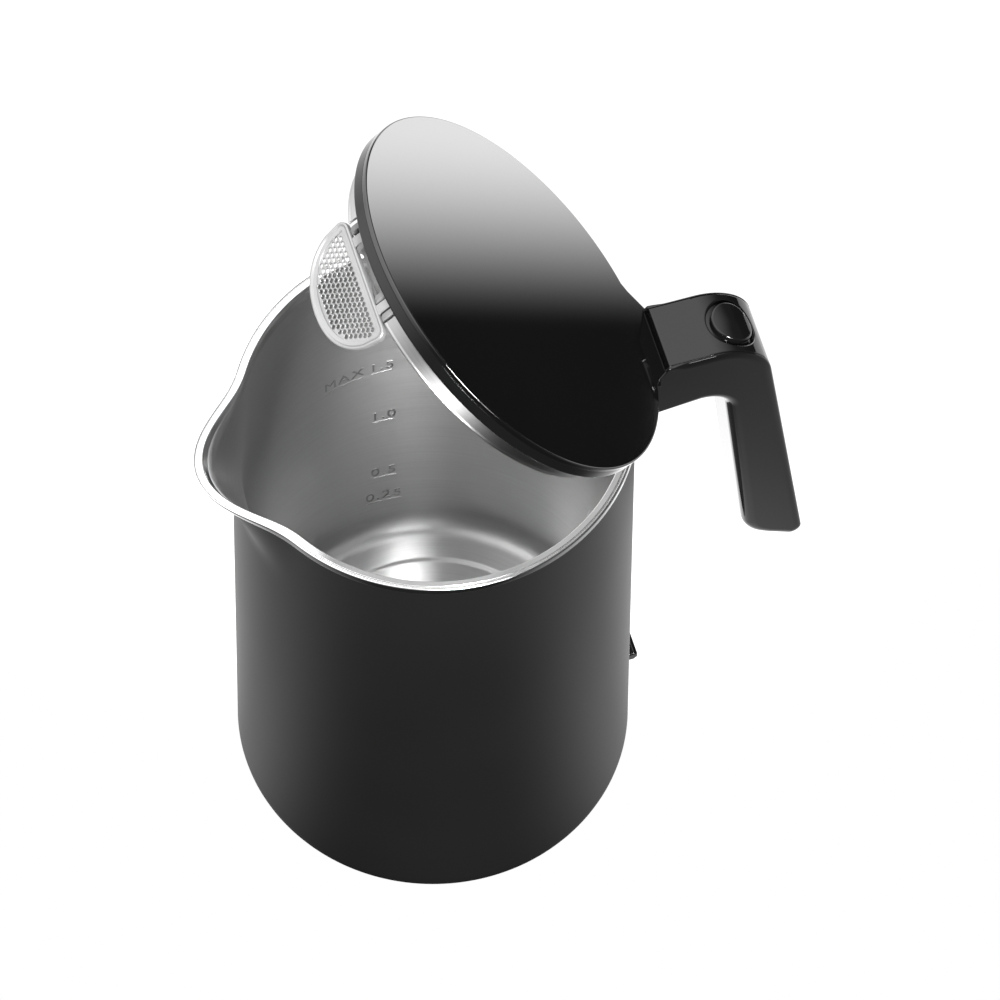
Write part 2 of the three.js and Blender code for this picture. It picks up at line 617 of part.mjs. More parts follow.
/** D-shaped outline: a straight top edge and a lobe below it, drawn in Y and Z. */
function lobe(inset, steps) {
  const [half, top] = [FILTER_HALF - inset, LID_TOP - FILTER_TOP - inset];
  const depth = FILTER_DEPTH - 2 * inset;
  return Array.from({ length: steps + 1 }, (_, i) => {
    const a = (Math.PI * i) / steps;
    return [half * Math.cos(a), top - depth * Math.sin(a) ** 0.8];
  });
}

/** A piece drawn in Y and Z, given a thickness along X. */
const upright = (points, x0, x1) =>
  plate(outline(points), x0, x1).rotateX(Math.PI / 2).rotateZ(Math.PI / 2);

function filterFrame() {
  const ringPiece = cut(upright(lobe(0, 18), FILTER_X - 1, FILTER_X + 1),
    upright(lobe(2.6, 18), FILTER_X - 3, FILTER_X + 3));
  const tabs = prongs.map((y) =>
    block(FILTER_X - 0.9, FILTER_X + 0.9, y - 2, y + 2, LID_TOP - FILTER_TOP - 1, SKIRT_TOP - 2));
  return joined(ringPiece, ...tabs);
}

addToLid('filter_frame', greyPlastic, filterFrame());
addToLid('filter_mesh', polished, upright(lobe(2.9, 18), FILTER_X - 0.3, FILTER_X + 0.3));

lid.position.set(HINGE_X, 0, HINGE_Z);
lid.rotation.y = LID_OPEN;

// The origin is the bottom centre of the whole kettle.
const bounds = new THREE.Box3().setFromObject(kettle, true);
kettle.position.set(-(bounds.min.x + bounds.max.x) / 2, 0, -bounds.min.z);

export default kettle;
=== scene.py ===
"""Cordless electric kettle with its lid open: the visible surfaces, finishes and studio.

Every shape is worked out in millimetres on the body's own axis, spout towards -X and handle
towards +X, and is moved to its place in the frame, in metres, when its mesh is made.
Lid pieces are drawn with the lid closed and then swung open about the hinge.
"""

import json
import math

import bmesh
import bpy
import numpy as np
from mathutils import Matrix, Vector


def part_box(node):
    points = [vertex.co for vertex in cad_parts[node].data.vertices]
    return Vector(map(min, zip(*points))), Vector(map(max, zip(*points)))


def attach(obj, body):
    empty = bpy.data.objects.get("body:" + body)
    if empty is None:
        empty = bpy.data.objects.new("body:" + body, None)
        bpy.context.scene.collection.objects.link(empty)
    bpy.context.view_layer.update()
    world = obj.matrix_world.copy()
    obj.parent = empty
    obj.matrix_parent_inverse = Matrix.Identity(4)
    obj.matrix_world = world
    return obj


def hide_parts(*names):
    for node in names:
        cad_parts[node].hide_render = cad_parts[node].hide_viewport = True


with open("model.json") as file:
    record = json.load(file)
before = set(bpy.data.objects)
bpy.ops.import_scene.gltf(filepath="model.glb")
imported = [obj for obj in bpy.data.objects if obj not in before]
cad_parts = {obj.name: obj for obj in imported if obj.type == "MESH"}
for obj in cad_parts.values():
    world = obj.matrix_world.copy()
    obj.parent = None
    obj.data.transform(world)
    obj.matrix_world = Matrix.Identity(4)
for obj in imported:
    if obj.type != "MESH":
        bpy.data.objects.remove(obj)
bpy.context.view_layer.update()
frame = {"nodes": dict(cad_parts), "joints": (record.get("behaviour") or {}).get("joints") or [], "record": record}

# ------------------------------------------------------------------ places from the frame
MM = 0.001
AXIS_X = sum(corner.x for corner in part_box("base_cover")) / 2 / MM
BODY_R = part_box("outer_shell")[1].x / MM - AXIS_X
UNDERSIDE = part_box("base_cover")[0].z / MM
WALL_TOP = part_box("inner_vessel")[1].z / MM
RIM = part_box("rim_ring")[1].z / MM
JOINTS = {joint["name"]: joint for joint in frame["joints"]}
HINGE = np.array(JOINTS["lid_hinge"]["pos_m"]) / MM - [AXIS_X, 0, 0]
LEVER = np.array(JOINTS["power_lever_tilt"]["pos_m"]) / MM - [AXIS_X, 0, 0]
PRESS = -np.array(JOINTS["button_press"]["axis"])

# ------------------------------------------------------------------ driving dimensions, mm
VESSEL_R = 66.9
WINDOW_HALF, WINDOW_LOW, WINDOW_HIGH = 7.6, 21.2, 30.6
FLOOR_Z = 33.0
SPOUT_REACH, SPOUT_SPAN, SPOUT_DEPTH = 15.5, math.radians(64), 34.0
LID_OPEN = math.radians(47.55)
LID_TOP = HINGE[2] + 4.24
LID_R = 71.3
BAND_T = 6.2
SKIRT_R, SKIRT_LOW, SKIRT_TOP = 66.3, 14.0, LID_TOP - BAND_T - 0.3
NECK_HALF = 12.3
ARM_TOP, ARM_LOW = RIM + 11.4, RIM - 17.0
SEAT = RIM + 1.6
HANDLE_HALF, COVER_HALF, COVER_T = 13.5, 12.25, 1.3
ARM_FRONT, ARM_FRONT_TOP, REBATE_HALF = 70.4, 71.5, 12.37
COVER_FRONT = 81.5
BEND_C, BEND_R = np.array([98.0, RIM - 9.6]), 21.0
CROOK_C, CROOK_R = np.array([93.2, RIM - 27.0]), 10.0
BACK_LEAN, INNER_LEAN = math.radians(6.8), math.radians(5.25)
BACK_END_Z, INNER_END_Z, COVER_END_Z = 95.9, 104.3, 104.6
BUTTON_AT = np.array([108.2, 0.0, RIM + 8.7])
BUTTON_R, WELL_R, PROUD = 8.0, 9.6, 1.1
FILTER_X, FILTER_HALF, FILTER_TOP, FILTER_DEPTH = -61.0, 24.3, 15.2, 24.5
MESH_PITCH, MESH_HOLE = 2.1, 0.78


# ------------------------------------------------------------------ meshes
def grid_faces(rows, cols, close_rows=False, close_cols=False):
    """Quads between neighbouring points of a rows x cols grid, as whole arrays of indices."""
    i = np.arange(rows if close_rows else rows - 1)[:, None]
    j = np.arange(cols if close_cols else cols - 1)[None, :]
    i2, j2 = (i + 1) % rows, (j + 1) % cols
    quads = [i * cols + j, i2 * cols + j, i2 * cols + j2, i * cols + j2]
    return np.stack([q + 0 * (i + j) for q in quads], -1).reshape(-1, 4)


def grid_uvs(rows, cols, close_rows, close_cols):
    """A corner-by-corner UV for each quad: U runs along the columns and V along the rows."""
    i = np.arange(rows if close_rows else rows - 1)[:, None]
    j = np.arange(cols if close_cols else cols - 1)[None, :]
    u0, u1 = j / max(1, cols - 1), (j + 1) / max(1, cols - 1)
    v0, v1 = i / max(1, rows - 1), (i + 1) / max(1, rows - 1)
    one = np.ones_like(i * j, float)
    corners = [(u0 * one, v0 * one), (u0 * one, v1 * one), (u1 * one, v1 * one), (u1 * one, v0 * one)]
    return np.stack([np.stack(c, -1) for c in corners], 2).reshape(-1, 2)


def radial_area(mesh):
    """Area of the faces times how far each looks away from the body's axis, added up."""
    count = len(mesh.polygons)
    centre, normal, area = np.zeros(count * 3), np.zeros(count * 3), np.zeros(count)
    mesh.polygons.foreach_get("center", centre)
    mesh.polygons.foreach_get("normal", normal)
    mesh.polygons.foreach_get("area", area)
    outward = (centre.reshape(-1, 3) - [AXIS_X * MM, 0, 0]) * normal.reshape(-1, 3)
    return float(area @ outward[:, :2].sum(1))


def piece(name, points, faces, material, body, slot, replaces=(), uv=None, facing=0, sharp=35):
    """A named mesh from points in mm and faces. A closed one is turned so that it faces outwards;
    a sheet round the axis faces away from it with facing 1 and towards it with facing -1."""
    points = np.asarray(points, float).reshape(-1, 3)
    mesh = bpy.data.meshes.new(name)
    mesh.from_pydata(((points + [AXIS_X, 0, 0]) * MM).tolist(), [], [list(f) for f in faces])
    if uv is not None:
        mesh.uv_layers.new(name="surface").data.foreach_set("uv", np.asarray(uv, np.float32).ravel())
    work = bmesh.new()
    work.from_mesh(mesh)
    bmesh.ops.remove_doubles(work, verts=work.verts, dist=2e-7)
    outward = facing * radial_area(mesh) if facing else work.calc_volume(signed=True)
    if outward < 0:
        bmesh.ops.reverse_faces(work, faces=work.faces)
    work.to_mesh(mesh)
    work.free()
    mesh.shade_smooth()
    mesh.set_sharp_from_angle(angle=math.radians(sharp))
    mesh.materials.append(material)
    obj = bpy.data.objects.new(name, mesh)
    bpy.context.scene.collection.objects.link(obj)
    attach(obj, body)
    if replaces:
        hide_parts(*replaces)
    return obj


def grid_piece(name, grid, material, body, slot, close_rows=False, close_cols=False, **options):
    """A piece whose points are a rows x cols grid."""
    rows, cols = grid.shape[:2]
    faces = grid_faces(rows, cols, close_rows, close_cols)
    options.setdefault("uv", grid_uvs(rows, cols, close_rows, close_cols))
    return piece(name, grid, faces, material, body, slot, **options)


def thicken(obj, wall, offset):
    """Gives a sheet a wall, in mm: offset -1 grows it against its normals, 1 along them."""
    solidify = obj.modifiers.new("wall", "SOLIDIFY")
    solidify.thickness = wall * MM
    solidify.offset = offset
    solidify.use_even_offset = False
    return obj


# ------------------------------------------------------------------ curves
def rounded(corners, steps=6, hold=0.04):
    """A line through [a, b, radius] corners, each turned by an arc of that radius that touches
    both sides, with a point just before and after it so that flats stay flat when shaded
    smooth. The first and last points are kept."""
    corners = np.asarray(corners, float)
    line = [corners[:1, :2]]
    t = np.linspace(0, 1, steps + 1)[:, None]
    for before, corner, after in zip(corners[:-2], corners[1:-1], corners[2:]):
        here, radius = corner[:2], max(corner[2], 1e-4)
        out, into = before[:2] - here, after[:2] - here
        out, into = out / np.linalg.norm(out), into / np.linalg.norm(into)
        half = math.acos(max(-0.999999, min(0.999999, float(out @ into)))) / 2
        bisector = (out + into) / np.linalg.norm(out + into)
        centre = here + bisector * radius / math.sin(half)
        reach, sweep = radius / math.tan(half), math.pi - 2 * half
        start, end = here + out * reach - centre, here + into * reach - centre
        turn = centre + (start * np.sin((1 - t) * sweep) + end * np.sin(t * sweep)) / math.sin(sweep)
        line += [turn[:1] + out * hold, turn, turn[-1:] + into * hold]
    line.append(corners[-1:, :2])
    return np.concatenate(line)


def refined(line, longest):
    """The same line with its long stretches divided so that no step is over longest."""
    parts = []
    for a, b in zip(line[:-1], line[1:]):
        n = max(1, math.ceil(np.linalg.norm(b - a) / longest))
        parts.append(a + (b - a) * (np.arange(n)[:, None] / n))
    return np.concatenate(parts + [line[-1:]])


def arc(centre, radius, start, end, steps):
    """Points on a circle between two angles in degrees."""
    a = np.radians(np.linspace(start, end, steps + 1))[:, None]
    return np.asarray(centre) + radius * np.concatenate([np.cos(a), np.sin(a)], 1)


def along(line):
    """Arc length of each point of a line."""
    return np.concatenate([[0], np.cumsum(np.linalg.norm(np.diff(line, axis=0), axis=1))])


def smooth_step(x, low, high):
    """0 below low, 1 above high, and 3t^2 - 2t^3 between."""
    t = np.clip((x - low) / (high - low), 0, 1)
    return t * t * (3 - 2 * t)


def normals_2d(line, closed):
    """Unit normals of a plane line, on the left of its direction."""
    ahead = np.roll(line, -1, 0) - np.roll(line, 1, 0)
    if not closed:
        ahead[0], ahead[-1] = line[1] - line[0], line[-1] - line[-2]
    ahead /= np.linalg.norm(ahead, axis=1)[:, None] + 1e-12
    return np.stack([-ahead[:, 1], ahead[:, 0]], 1)


def spin(profile, angles):
    """A [radius, height] line carried round the axis: point = (r cos a, r sin a, z)."""
    r, z = profile[:, :1], profile[:, 1:2]
    return np.stack([r * np.cos(angles), r * np.sin(angles), z + 0 * angles], -1)


def turned_piece(name, profile, material, body, slot, centre=(0, 0, 0), steps=96, **options):
    """A closed profile, or one that starts and ends on the axis, spun about +Z."""
    profile = np.asarray(profile, float)
    grid = spin(profile, np.linspace(0, 2 * np.pi, steps, endpoint=False))
    looped = profile[:, 0].min() > 1e-6
    return grid_piece(name, grid + np.asarray(centre), material, body, slot,
                      close_rows=looped, close_cols=True, **options)


def swung(points):
    """Closed-lid coordinates turned open about the hinge: x' = x cos + z sin, z' = z cos - x sin."""
    offset = points - HINGE
    c, s = math.cos(LID_OPEN), math.sin(LID_OPEN)
    turned = np.stack([c * offset[..., 0] + s * offset[..., 2], offset[..., 1],
                       c * offset[..., 2] - s * offset[..., 0]], -1)
    return turned + HINGE


# ------------------------------------------------------------------ body with its spout
def body_angles(count):
    """Angles about the axis from -X round to -X, closest together across the spout."""
    even = np.linspace(-np.pi, np.pi, count, endpoint=False)
    return even - 0.35 * np.sin(even)


def spouted(profile, angles):
    """A [radius, height] line carried round the axis and drawn out at -X: the radius grows by
    reach * lobe(angle) ** 2.4 * fade(depth) ** 1.3, a rounded lobe that dies away downwards."""
    r, z = profile[:, :1], profile[:, 1:2]
    lobe = np.cos(np.clip(np.abs(angles) / SPOUT_SPAN, 0, 0.5) * np.pi) ** 2.4
    fade = np.clip(1 - np.clip(RIM - z, 0, None) / SPOUT_DEPTH, 0, 1) ** 1.3
    reach = r + SPOUT_REACH * lobe[None, :] * fade * (r > 1)
    return np.stack([-reach * np.cos(angles), reach * np.sin(angles), z + 0 * reach], -1)


def make_shell():
    """Painted shell: underside flange, round foot edge and wall, with the lever's window."""
    angles = body_angles(360)
    half_window = math.asin(WINDOW_HALF / BODY_R)
    edges = [math.pi - half_window, -math.pi + half_window]
    angles = np.sort(np.concatenate([angles, edges]))
    line = refined(rounded([[56.2, UNDERSIDE, 0], [BODY_R, UNDERSIDE, 13.95],
                            [BODY_R, WALL_TOP, 0.6], [BODY_R - 1.2, WALL_TOP, 0]], 14), 5.0)
    line = np.concatenate([line, [[BODY_R, WINDOW_LOW], [BODY_R, WINDOW_HIGH]]])
    upright = line[:, 0] > BODY_R - 1e-6
    wall, ends = line[upright], line[~upright]
    wall = wall[np.argsort(wall[:, 1], kind="stable")]
    in_foot = ends[:, 1] < WINDOW_HIGH
    line = np.concatenate([ends[in_foot], wall, ends[~in_foot]])
    grid = spouted(line, angles)
    rows, cols = grid.shape[:2]
    faces = grid_faces(rows, cols, close_cols=True)
    uv = grid_uvs(rows, cols, False, True).reshape(-1, 4, 2)
    middle = grid.reshape(-1, 3)[faces].mean(1)
    window = (middle[:, 0] > 60) & (np.abs(middle[:, 1]) < WINDOW_HALF)
    window &= (middle[:, 2] > WINDOW_LOW) & (middle[:, 2] < WINDOW_HIGH)
    shell = piece("painted_shell", grid, faces[~window], M["painted_black"], "body",
                  "painted_black", replaces=["outer_shell"], uv=uv[~window], facing=1)
    thicken(shell, 1.3, -1)


def make_vessel():
    """Brushed steel vessel: floor with a pressed ring, floor fillet and wall."""
    line = rounded([[0, FLOOR_Z, 0], [50.5, FLOOR_Z, 2], [51.8, FLOOR_Z + 0.7, 2],
                    [VESSEL_R, FLOOR_Z + 0.7, 7.5], [VESSEL_R, WALL_TOP, 0]], 12)
    grid = spouted(refined(line, 5.0), body_angles(320))
    vessel = grid_piece("steel_vessel", grid, M["brushed_steel"], "body", "brushed_steel",
                        close_cols=True, replaces=["inner_vessel"], facing=-1)
    thicken(vessel, 0.85, -1)


def make_rim():
    """Rolled rim: a flat inner band, a fine groove and a round outer lip."""
    line = rounded([
        [67.1, RIM - 2.9, 0], [67.1, RIM - 0.25, 0.45], [69.35, RIM - 0.05, 0.2], [69.55, RIM - 0.75, 0.12],
        [69.8, RIM - 0.75, 0.12], [69.95, RIM, 0.35], [71.0, RIM, 0.75], [71.0, RIM - 2.9, 0.5],
        [69.5, RIM - 2.9, 0]], 5)
    grid_piece("rolled_rim", spouted(line, body_angles(480)), M["polished_steel"], "body",
               "polished_steel", close_rows=True, close_cols=True, replaces=["rim_ring"], sharp=50)


# ------------------------------------------------------------------ volume marks
def make_marks():
    """Embossed numbers and short lines on the vessel wall: flat lettering wrapped on a cylinder
    just inside the wall, angle = start - x / r, height = z + y."""
    marks = [("1.5", 89, 147), ("MAX", 101.5, 147), ("1.0", 88.5, 113), ("0.5", 88.5, 74),
             ("0.25", 88.5, 57)]
    points, faces, offset = [], [], 0
    for text, azimuth, height in marks:
        curve = bpy.data.curves.new("mark", "FONT")
        curve.body, curve.size, curve.align_x = text, 7.0, "CENTER"
        curve.extrude, curve.offset, curve.space_character = 0.07, -0.02, 1.15
        holder = bpy.data.objects.new("mark", curve)
        bpy.context.scene.collection.objects.link(holder)
        flat = holder.evaluated_get(bpy.context.evaluated_depsgraph_get()).to_mesh()
        flat_points = np.zeros(len(flat.vertices) * 3)
        flat.vertices.foreach_get("co", flat_points)
        flat_points = flat_points.reshape(-1, 3)
        width = np.ptp(flat_points[:, 0])
        mark_faces = [[v + offset for v in polygon.vertices] for polygon in flat.polygons]
        bar, bar_faces = bar_points(-width / 2, width / 2, -1.75, -1.5, -0.07, 0.07)
        flat_points = np.concatenate([flat_points, bar])
        mark_faces += [[v + offset + len(flat_points) - len(bar) for v in f] for f in bar_faces]
        angle = math.radians(azimuth) - flat_points[:, 0] / VESSEL_R
        radius = VESSEL_R - 0.12 - flat_points[:, 2]
        points.append(np.stack([radius * np.cos(angle), radius * np.sin(angle),
                                height - 2.6 + flat_points[:, 1]], 1))
        faces += mark_faces
        offset += len(flat_points)
        bpy.data.objects.remove(holder)
        bpy.data.curves.remove(curve)
    piece("volume_marks", np.concatenate(points), faces, M["mark_steel"], "body", "brushed_steel",
          sharp=30)


def bar_points(x0, x1, y0, y1, z0, z1):
    """Corners and faces of a short raised line, divided along its length so that it can bend."""
    xs = np.linspace(x0, x1, 7)
    section = np.array([[y0, z0], [y1, z0], [y1, z1], [y0, z1]])
    grid = np.concatenate([np.repeat(xs[:, None, None], 4, 1), np.repeat(section[None], 7, 0)], 2)
    faces = grid_faces(7, 4, close_cols=True).tolist() + [[3, 2, 1, 0], [24, 25, 26, 27]]
    return grid.reshape(-1, 3), faces


# ------------------------------------------------------------------ lid
def lid_outline(radius=LID_R, count=300):
    """Plan of the lid: a disc whose neck leaves it at a hollow corner, anticlockwise from +X."""
    root = math.radians(17.5)
    grow = radius - LID_R
    start = radius * np.array([math.cos(root), math.sin(root)])
    side = rounded([[80.45, 0, 0], [80.45, NECK_HALF + grow, 1.4], [78.0, NECK_HALF + grow + 0.15, 3],
                    [70.4, 18.6 + grow, 3.5], [*start, 0]], 6)
    side = refined(side[:-1], 1.2)
    a = np.linspace(root, np.pi, count // 2)
    half_turn = radius * np.stack([np.cos(a), np.sin(a)], 1)
    upper = np.concatenate([side, half_turn])
    lower = upper[-2:0:-1] * [1, -1]
    return np.concatenate([upper, lower])


def plan_rings(outline, profile):
    """Rings that follow an outline, each moved in along its normals by inset and put at a height;
    profile rows are [inset, height]."""
    inward = normals_2d(outline, True)
    flat = outline[None] + inward[None] * profile[:, 0][:, None, None]
    return np.concatenate([flat, np.broadcast_to(profile[:, 1][:, None, None], flat.shape[:2] + (1,))], 2)


def make_lid_face():
    """Gloss plate: a flat top on a rounded edge, closed below, drawn as rings in to the centre."""
    outline = lid_outline(LID_R + 0.1)
    edge = rounded([[0.5, LID_TOP - 1.9, 0], [0, LID_TOP - 1.9, 0.3], [0, LID_TOP, 0.55],
                    [0.9, LID_TOP, 0]], 6)
    rings = plan_rings(outline, edge)
    top = rings[-1][None] * [1, 1, 0]
    shrink = np.linspace(1, 0, 14)[1:, None, None] ** 0.8
    inner = top * shrink + [0, 0, LID_TOP]
    under = rings[0][None] * [1, 1, 0] * np.linspace(0, 1, 6)[:-1, None, None] + [0, 0, LID_TOP - 1.9]
    grid = swung(np.concatenate([under, rings, inner]))
    grid_piece("lid_face", grid, M["gloss_face"], "lid", "gloss_black", close_cols=True,
               replaces=["lid_plate"], sharp=40)


def make_lid_band():
    """Edge band under the face: rounded edges outside, stepped back inside to a round opening,
    and hollow along the neck so that the hinge fits into it."""
    outline = lid_outline()
    edge = rounded([[2.6, LID_TOP - 1.95, 0], [0, LID_TOP - 1.95, 0.08], [0, LID_TOP - BAND_T, 0.7],
                    [1.3, LID_TOP - BAND_T, 0]], 5)
    rings = plan_rings(outline, edge)
    angle = np.abs(np.arctan2(outline[:, 1], outline[:, 0]))
    neck_side = 10.9 / np.maximum(np.sin(angle), 1e-6)
    neck_end = 79.2 / np.cos(np.minimum(angle, 1.2))
    reach = np.where(angle < math.radians(10.2), np.minimum(neck_side, neck_end), 61.0)
    unit = outline / np.linalg.norm(outline, axis=1)[:, None]
    inner = unit * np.minimum(reach, np.linalg.norm(rings[-1][:, :2], axis=1) - 0.4)[:, None]
    levels = [LID_TOP - BAND_T, LID_TOP - 1.95]
    walls = [np.concatenate([inner, np.full((len(inner), 1), z)], 1)[None] for z in levels]
    grid = swung(np.concatenate([rings, *walls]))
    grid_piece("lid_edge_band", grid, M["gloss_black"], "lid", "gloss_black", close_rows=True,
               close_cols=True, replaces=["lid_housing"], sharp=40)


def side_extrusion(outline, rows, swing=False):
    """A closed side view (x, z) carried across: rows are [y, inset], the edge rounded by insets.
    Both ends are closed with one flat face each."""
    inward = normals_2d(outline, True)
    flat = outline[None] + inward[None] * rows[:, 1][:, None, None]
    y = np.broadcast_to(rows[:, 0][:, None], flat.shape[:2])
    grid = np.stack([flat[..., 0], y, flat[..., 1]], -1)
    if swing:
        grid = swung(grid)
    count, cols = grid.shape[:2]
    faces = grid_faces(count, cols, close_cols=True).tolist()
    faces += [list(range(cols))[::-1], list(range((count - 1) * cols, count * cols))]
    return grid, faces


def edge_rows(y0, y1, radius, steps=4):
    """[y, inset] rows that round both edges of a piece between y0 and y1."""
    a = np.linspace(0, np.pi / 2, steps + 1)
    low = np.stack([y0 + radius * (1 - np.sin(a)), radius * (1 - np.cos(a))], 1)[::-1]
    low = np.concatenate([[[y0, radius + 0.05]], low, [[y0 + radius + 0.05, 0]]])
    return np.concatenate([low, low[::-1] * [-1, 1] + [y0 + y1, 0]])


def side_piece(name, outline, rows, material, body, slot, swing=False, **options):
    """A piece made as a side extrusion."""
    grid, faces = side_extrusion(np.asarray(outline, float), rows, swing)
    return piece(name, grid, faces, material, body, slot, **options)


def make_neck_end():
    """Rear of the neck, round about the hinge, and the two knuckles on the pin."""
    outer = arc(HINGE[[0, 2]], 4.78, 10, 62, 14)
    inner = arc(HINGE[[0, 2]], 3.3, 62, 10, 14)
    side_piece("neck_end", np.concatenate([outer, inner]), edge_rows(-12.2, 12.2, 0.3),
               M["gloss_black"], "lid", "gloss_black", swing=True)
    for number, y in enumerate((-8.3, 3.0), 1):
        barrel = arc(HINGE[[0, 2]], 1.9, -90, 90, 16)
        arm = [[HINGE[0] - 17, HINGE[2] + 1.2], [HINGE[0] - 17, HINGE[2] - 1.8]]
        side_piece(f"lid_knuckle_{number}", np.concatenate([barrel, arm]), edge_rows(y, y + 5.3, 0.3),
                   M["gloss_black"], "lid", "gloss_black", swing=True)


def make_skirt():
    """Brushed skirt with a rolled lower edge, open at the spout side for the filter holder."""
    gap = math.asin(21.0 / SKIRT_R)
    angles = np.linspace(-np.pi + gap, np.pi - gap, 260)
    top, low = LID_TOP - BAND_T - 0.25, LID_TOP - SKIRT_LOW
    line = rounded([[65.4, top, 0], [65.4, low + 0.6, 0.3], [65.1, low + 0.3, 0.2], [65.3, low, 0.3],
                    [66.2, low, 0.4], [66.5, low + 0.7, 0.4], [66.25, low + 1.4, 0.4],
                    [66.25, top, 0]], 5)
    line = refined(line, 2.5)
    grid = swung(spin(line, angles))
    rows, cols = grid.shape[:2]
    faces = grid_faces(rows, cols, close_rows=True).tolist()
    uv = np.concatenate([grid_uvs(rows, cols, True, False), np.zeros((2 * rows, 2))])
    faces += [[r * cols for r in range(rows)], [r * cols + cols - 1 for r in range(rows)][::-1]]
    piece("lid_skirt_ring", grid, faces, M["brushed_steel"], "lid", "brushed_steel",
          replaces=["lid_skirt"], uv=uv)


def make_pan():
    """Under-pan: a pressed dish with a shallow ring, cut back straight behind the filter holder."""
    z = LID_TOP - SKIRT_LOW + 1
    line = rounded([[0, z + 0.9, 0], [63.6, z + 0.9, 0.4], [64.0, SKIRT_TOP, 0.1], [64.7, SKIRT_TOP, 0.1],
                    [64.7, z, 1.2], [52, z, 2], [50.5, z + 0.6, 2], [20, z + 0.6, 2], [18.5, z, 2],
                    [0, z, 0]], 5)
    line = refined(line, 4.0)
    angles = np.linspace(0, 2 * np.pi, 240, endpoint=False)
    chord = np.where(np.cos(angles) < -0.5, 55.2 / np.maximum(-np.cos(angles), 1e-6), 99)
    grid = spin(line, angles)
    scale = np.minimum(1, chord / 64.7)[None, :, None]
    grid = grid * np.concatenate([scale, scale, np.ones_like(scale)], 2)
    grid_piece("lid_under_pan", swung(grid), M["brushed_steel"], "lid", "brushed_steel",
               close_cols=True, replaces=["lid_pan"])


# ------------------------------------------------------------------ spout filter
def lobe(inset, count=96):
    """D-shape in (y, z): a straight top with round corners over a deep round lobe, moved in by
    inset along its normals, anticlockwise."""
    a = np.linspace(0, np.pi, 61)
    top = LID_TOP - FILTER_TOP
    curve = np.stack([FILTER_HALF * np.sign(np.cos(a)) * np.abs(np.cos(a)) ** 0.92,
                      top - 2.2 - (FILTER_DEPTH - 2.2) * np.sin(a) ** 0.9], 1)[::-1]
    left = rounded([[0, top, 0], [-FILTER_HALF, top, 3.6], [*curve[0], 0]], 8)[1:-1]
    right = rounded([[*curve[-1], 0], [FILTER_HALF, top, 3.6], [0, top, 0]], 8)[1:-1]
    line = np.concatenate([left, curve[6:-6], right])
    line = refined(np.concatenate([line, line[:1]]), 0.4)
    length = along(line)
    even = np.linspace(0, length[-1], count, endpoint=False)
    line = np.stack([np.interp(even, length, line[:, k]) for k in (0, 1)], 1)
    return line + normals_2d(line, True) * inset


def make_filter_frame():
    """Moulded frame round the sheet: a raised round bead outside and a flat land inside."""
    section = rounded([[2.9, -0.55, 0], [1.5, -0.6, 0.3], [0.9, -1.2, 0.5], [0.1, -1.1, 0.5],
                       [0.0, 0.0, 0.8], [0.1, 1.1, 0.5], [0.9, 1.2, 0.5], [1.5, 0.6, 0.3],
                       [2.9, 0.55, 0]], 4)
    outline = lobe(0, 180)
    inward = normals_2d(outline, True)
    flat = outline[None] + inward[None] * section[:, :1, None]
    x = np.broadcast_to(FILTER_X + section[:, 1:2], flat.shape[:2])
    grid = np.concatenate([x[..., None], flat], -1)
    grid_piece("filter_rim", swung(grid), M["filter_grey"], "filter", "grey_plastic",
               close_rows=True, close_cols=True, replaces=["filter_frame"], sharp=60)
    for number, y in enumerate((-14, 14), 1):
        foot = LID_TOP - FILTER_TOP - 0.6
        outline = [[FILTER_X - 0.8, foot], [FILTER_X + 0.8, foot],
                   [FILTER_X + 0.8, LID_TOP - 9.4], [FILTER_X + 0.3, LID_TOP - 8.8],
                   [FILTER_X - 0.8, LID_TOP - 9.6]]
        side_piece(f"filter_tab_{number}", outline, edge_rows(y - 1.9, y + 1.9, 0.2, 2),
                   M["filter_grey"], "filter", "grey_plastic", swing=True)


def make_filter_sheet():
    """Perforated steel: six-sided cells side by side, each with a round hole, plain cells at the
    margin; a cell's ring joins 12 points of the hexagon to 12 of the hole."""
    outline_in, outline_out = lobe(3.6, 160), lobe(1.3, 160)
    rows, cols = 16, 28
    row, col = np.meshgrid(np.arange(-rows, rows), np.arange(-cols, cols), indexing="ij")
    middle = LID_TOP - FILTER_TOP - FILTER_DEPTH / 2
    centres = np.stack([(col + 0.5 * (row % 2)) * MESH_PITCH, middle + row * MESH_PITCH * 0.866], -1)
    centres = centres.reshape(-1, 2)
    centres = centres[inside(centres, outline_out)]
    open_cell = inside(centres, outline_in)
    a = np.radians(np.arange(12) * 30 + 30)
    corner = MESH_PITCH / 2 / np.where(np.arange(12) % 2 == 0, math.cos(math.radians(30)), 1)
    hexagon = corner[:, None] * np.stack([np.cos(a), np.sin(a)], 1)
    hole = MESH_HOLE * np.stack([np.cos(a), np.sin(a)], 1)
    cell = np.concatenate([hexagon, hole])
    points = (centres[:, None] + cell[None]).reshape(-1, 2)
    k = np.arange(12)
    ring = np.stack([k, (k + 1) % 12, 12 + (k + 1) % 12, 12 + k], 1)
    start = np.arange(len(centres))[:, None, None] * 24
    faces = (start + ring[None]).reshape(-1, 4).tolist()
    faces += (start[~open_cell, 0] + 12 + k[None]).tolist()
    grid = np.stack([np.full(len(points), FILTER_X), points[:, 0], points[:, 1]], 1)
    sheet = piece("filter_sheet", swung(grid), faces, M["sheet_steel"], "filter", "polished_steel",
                  replaces=["filter_mesh"], sharp=40)
    thicken(sheet, 0.35, 0)


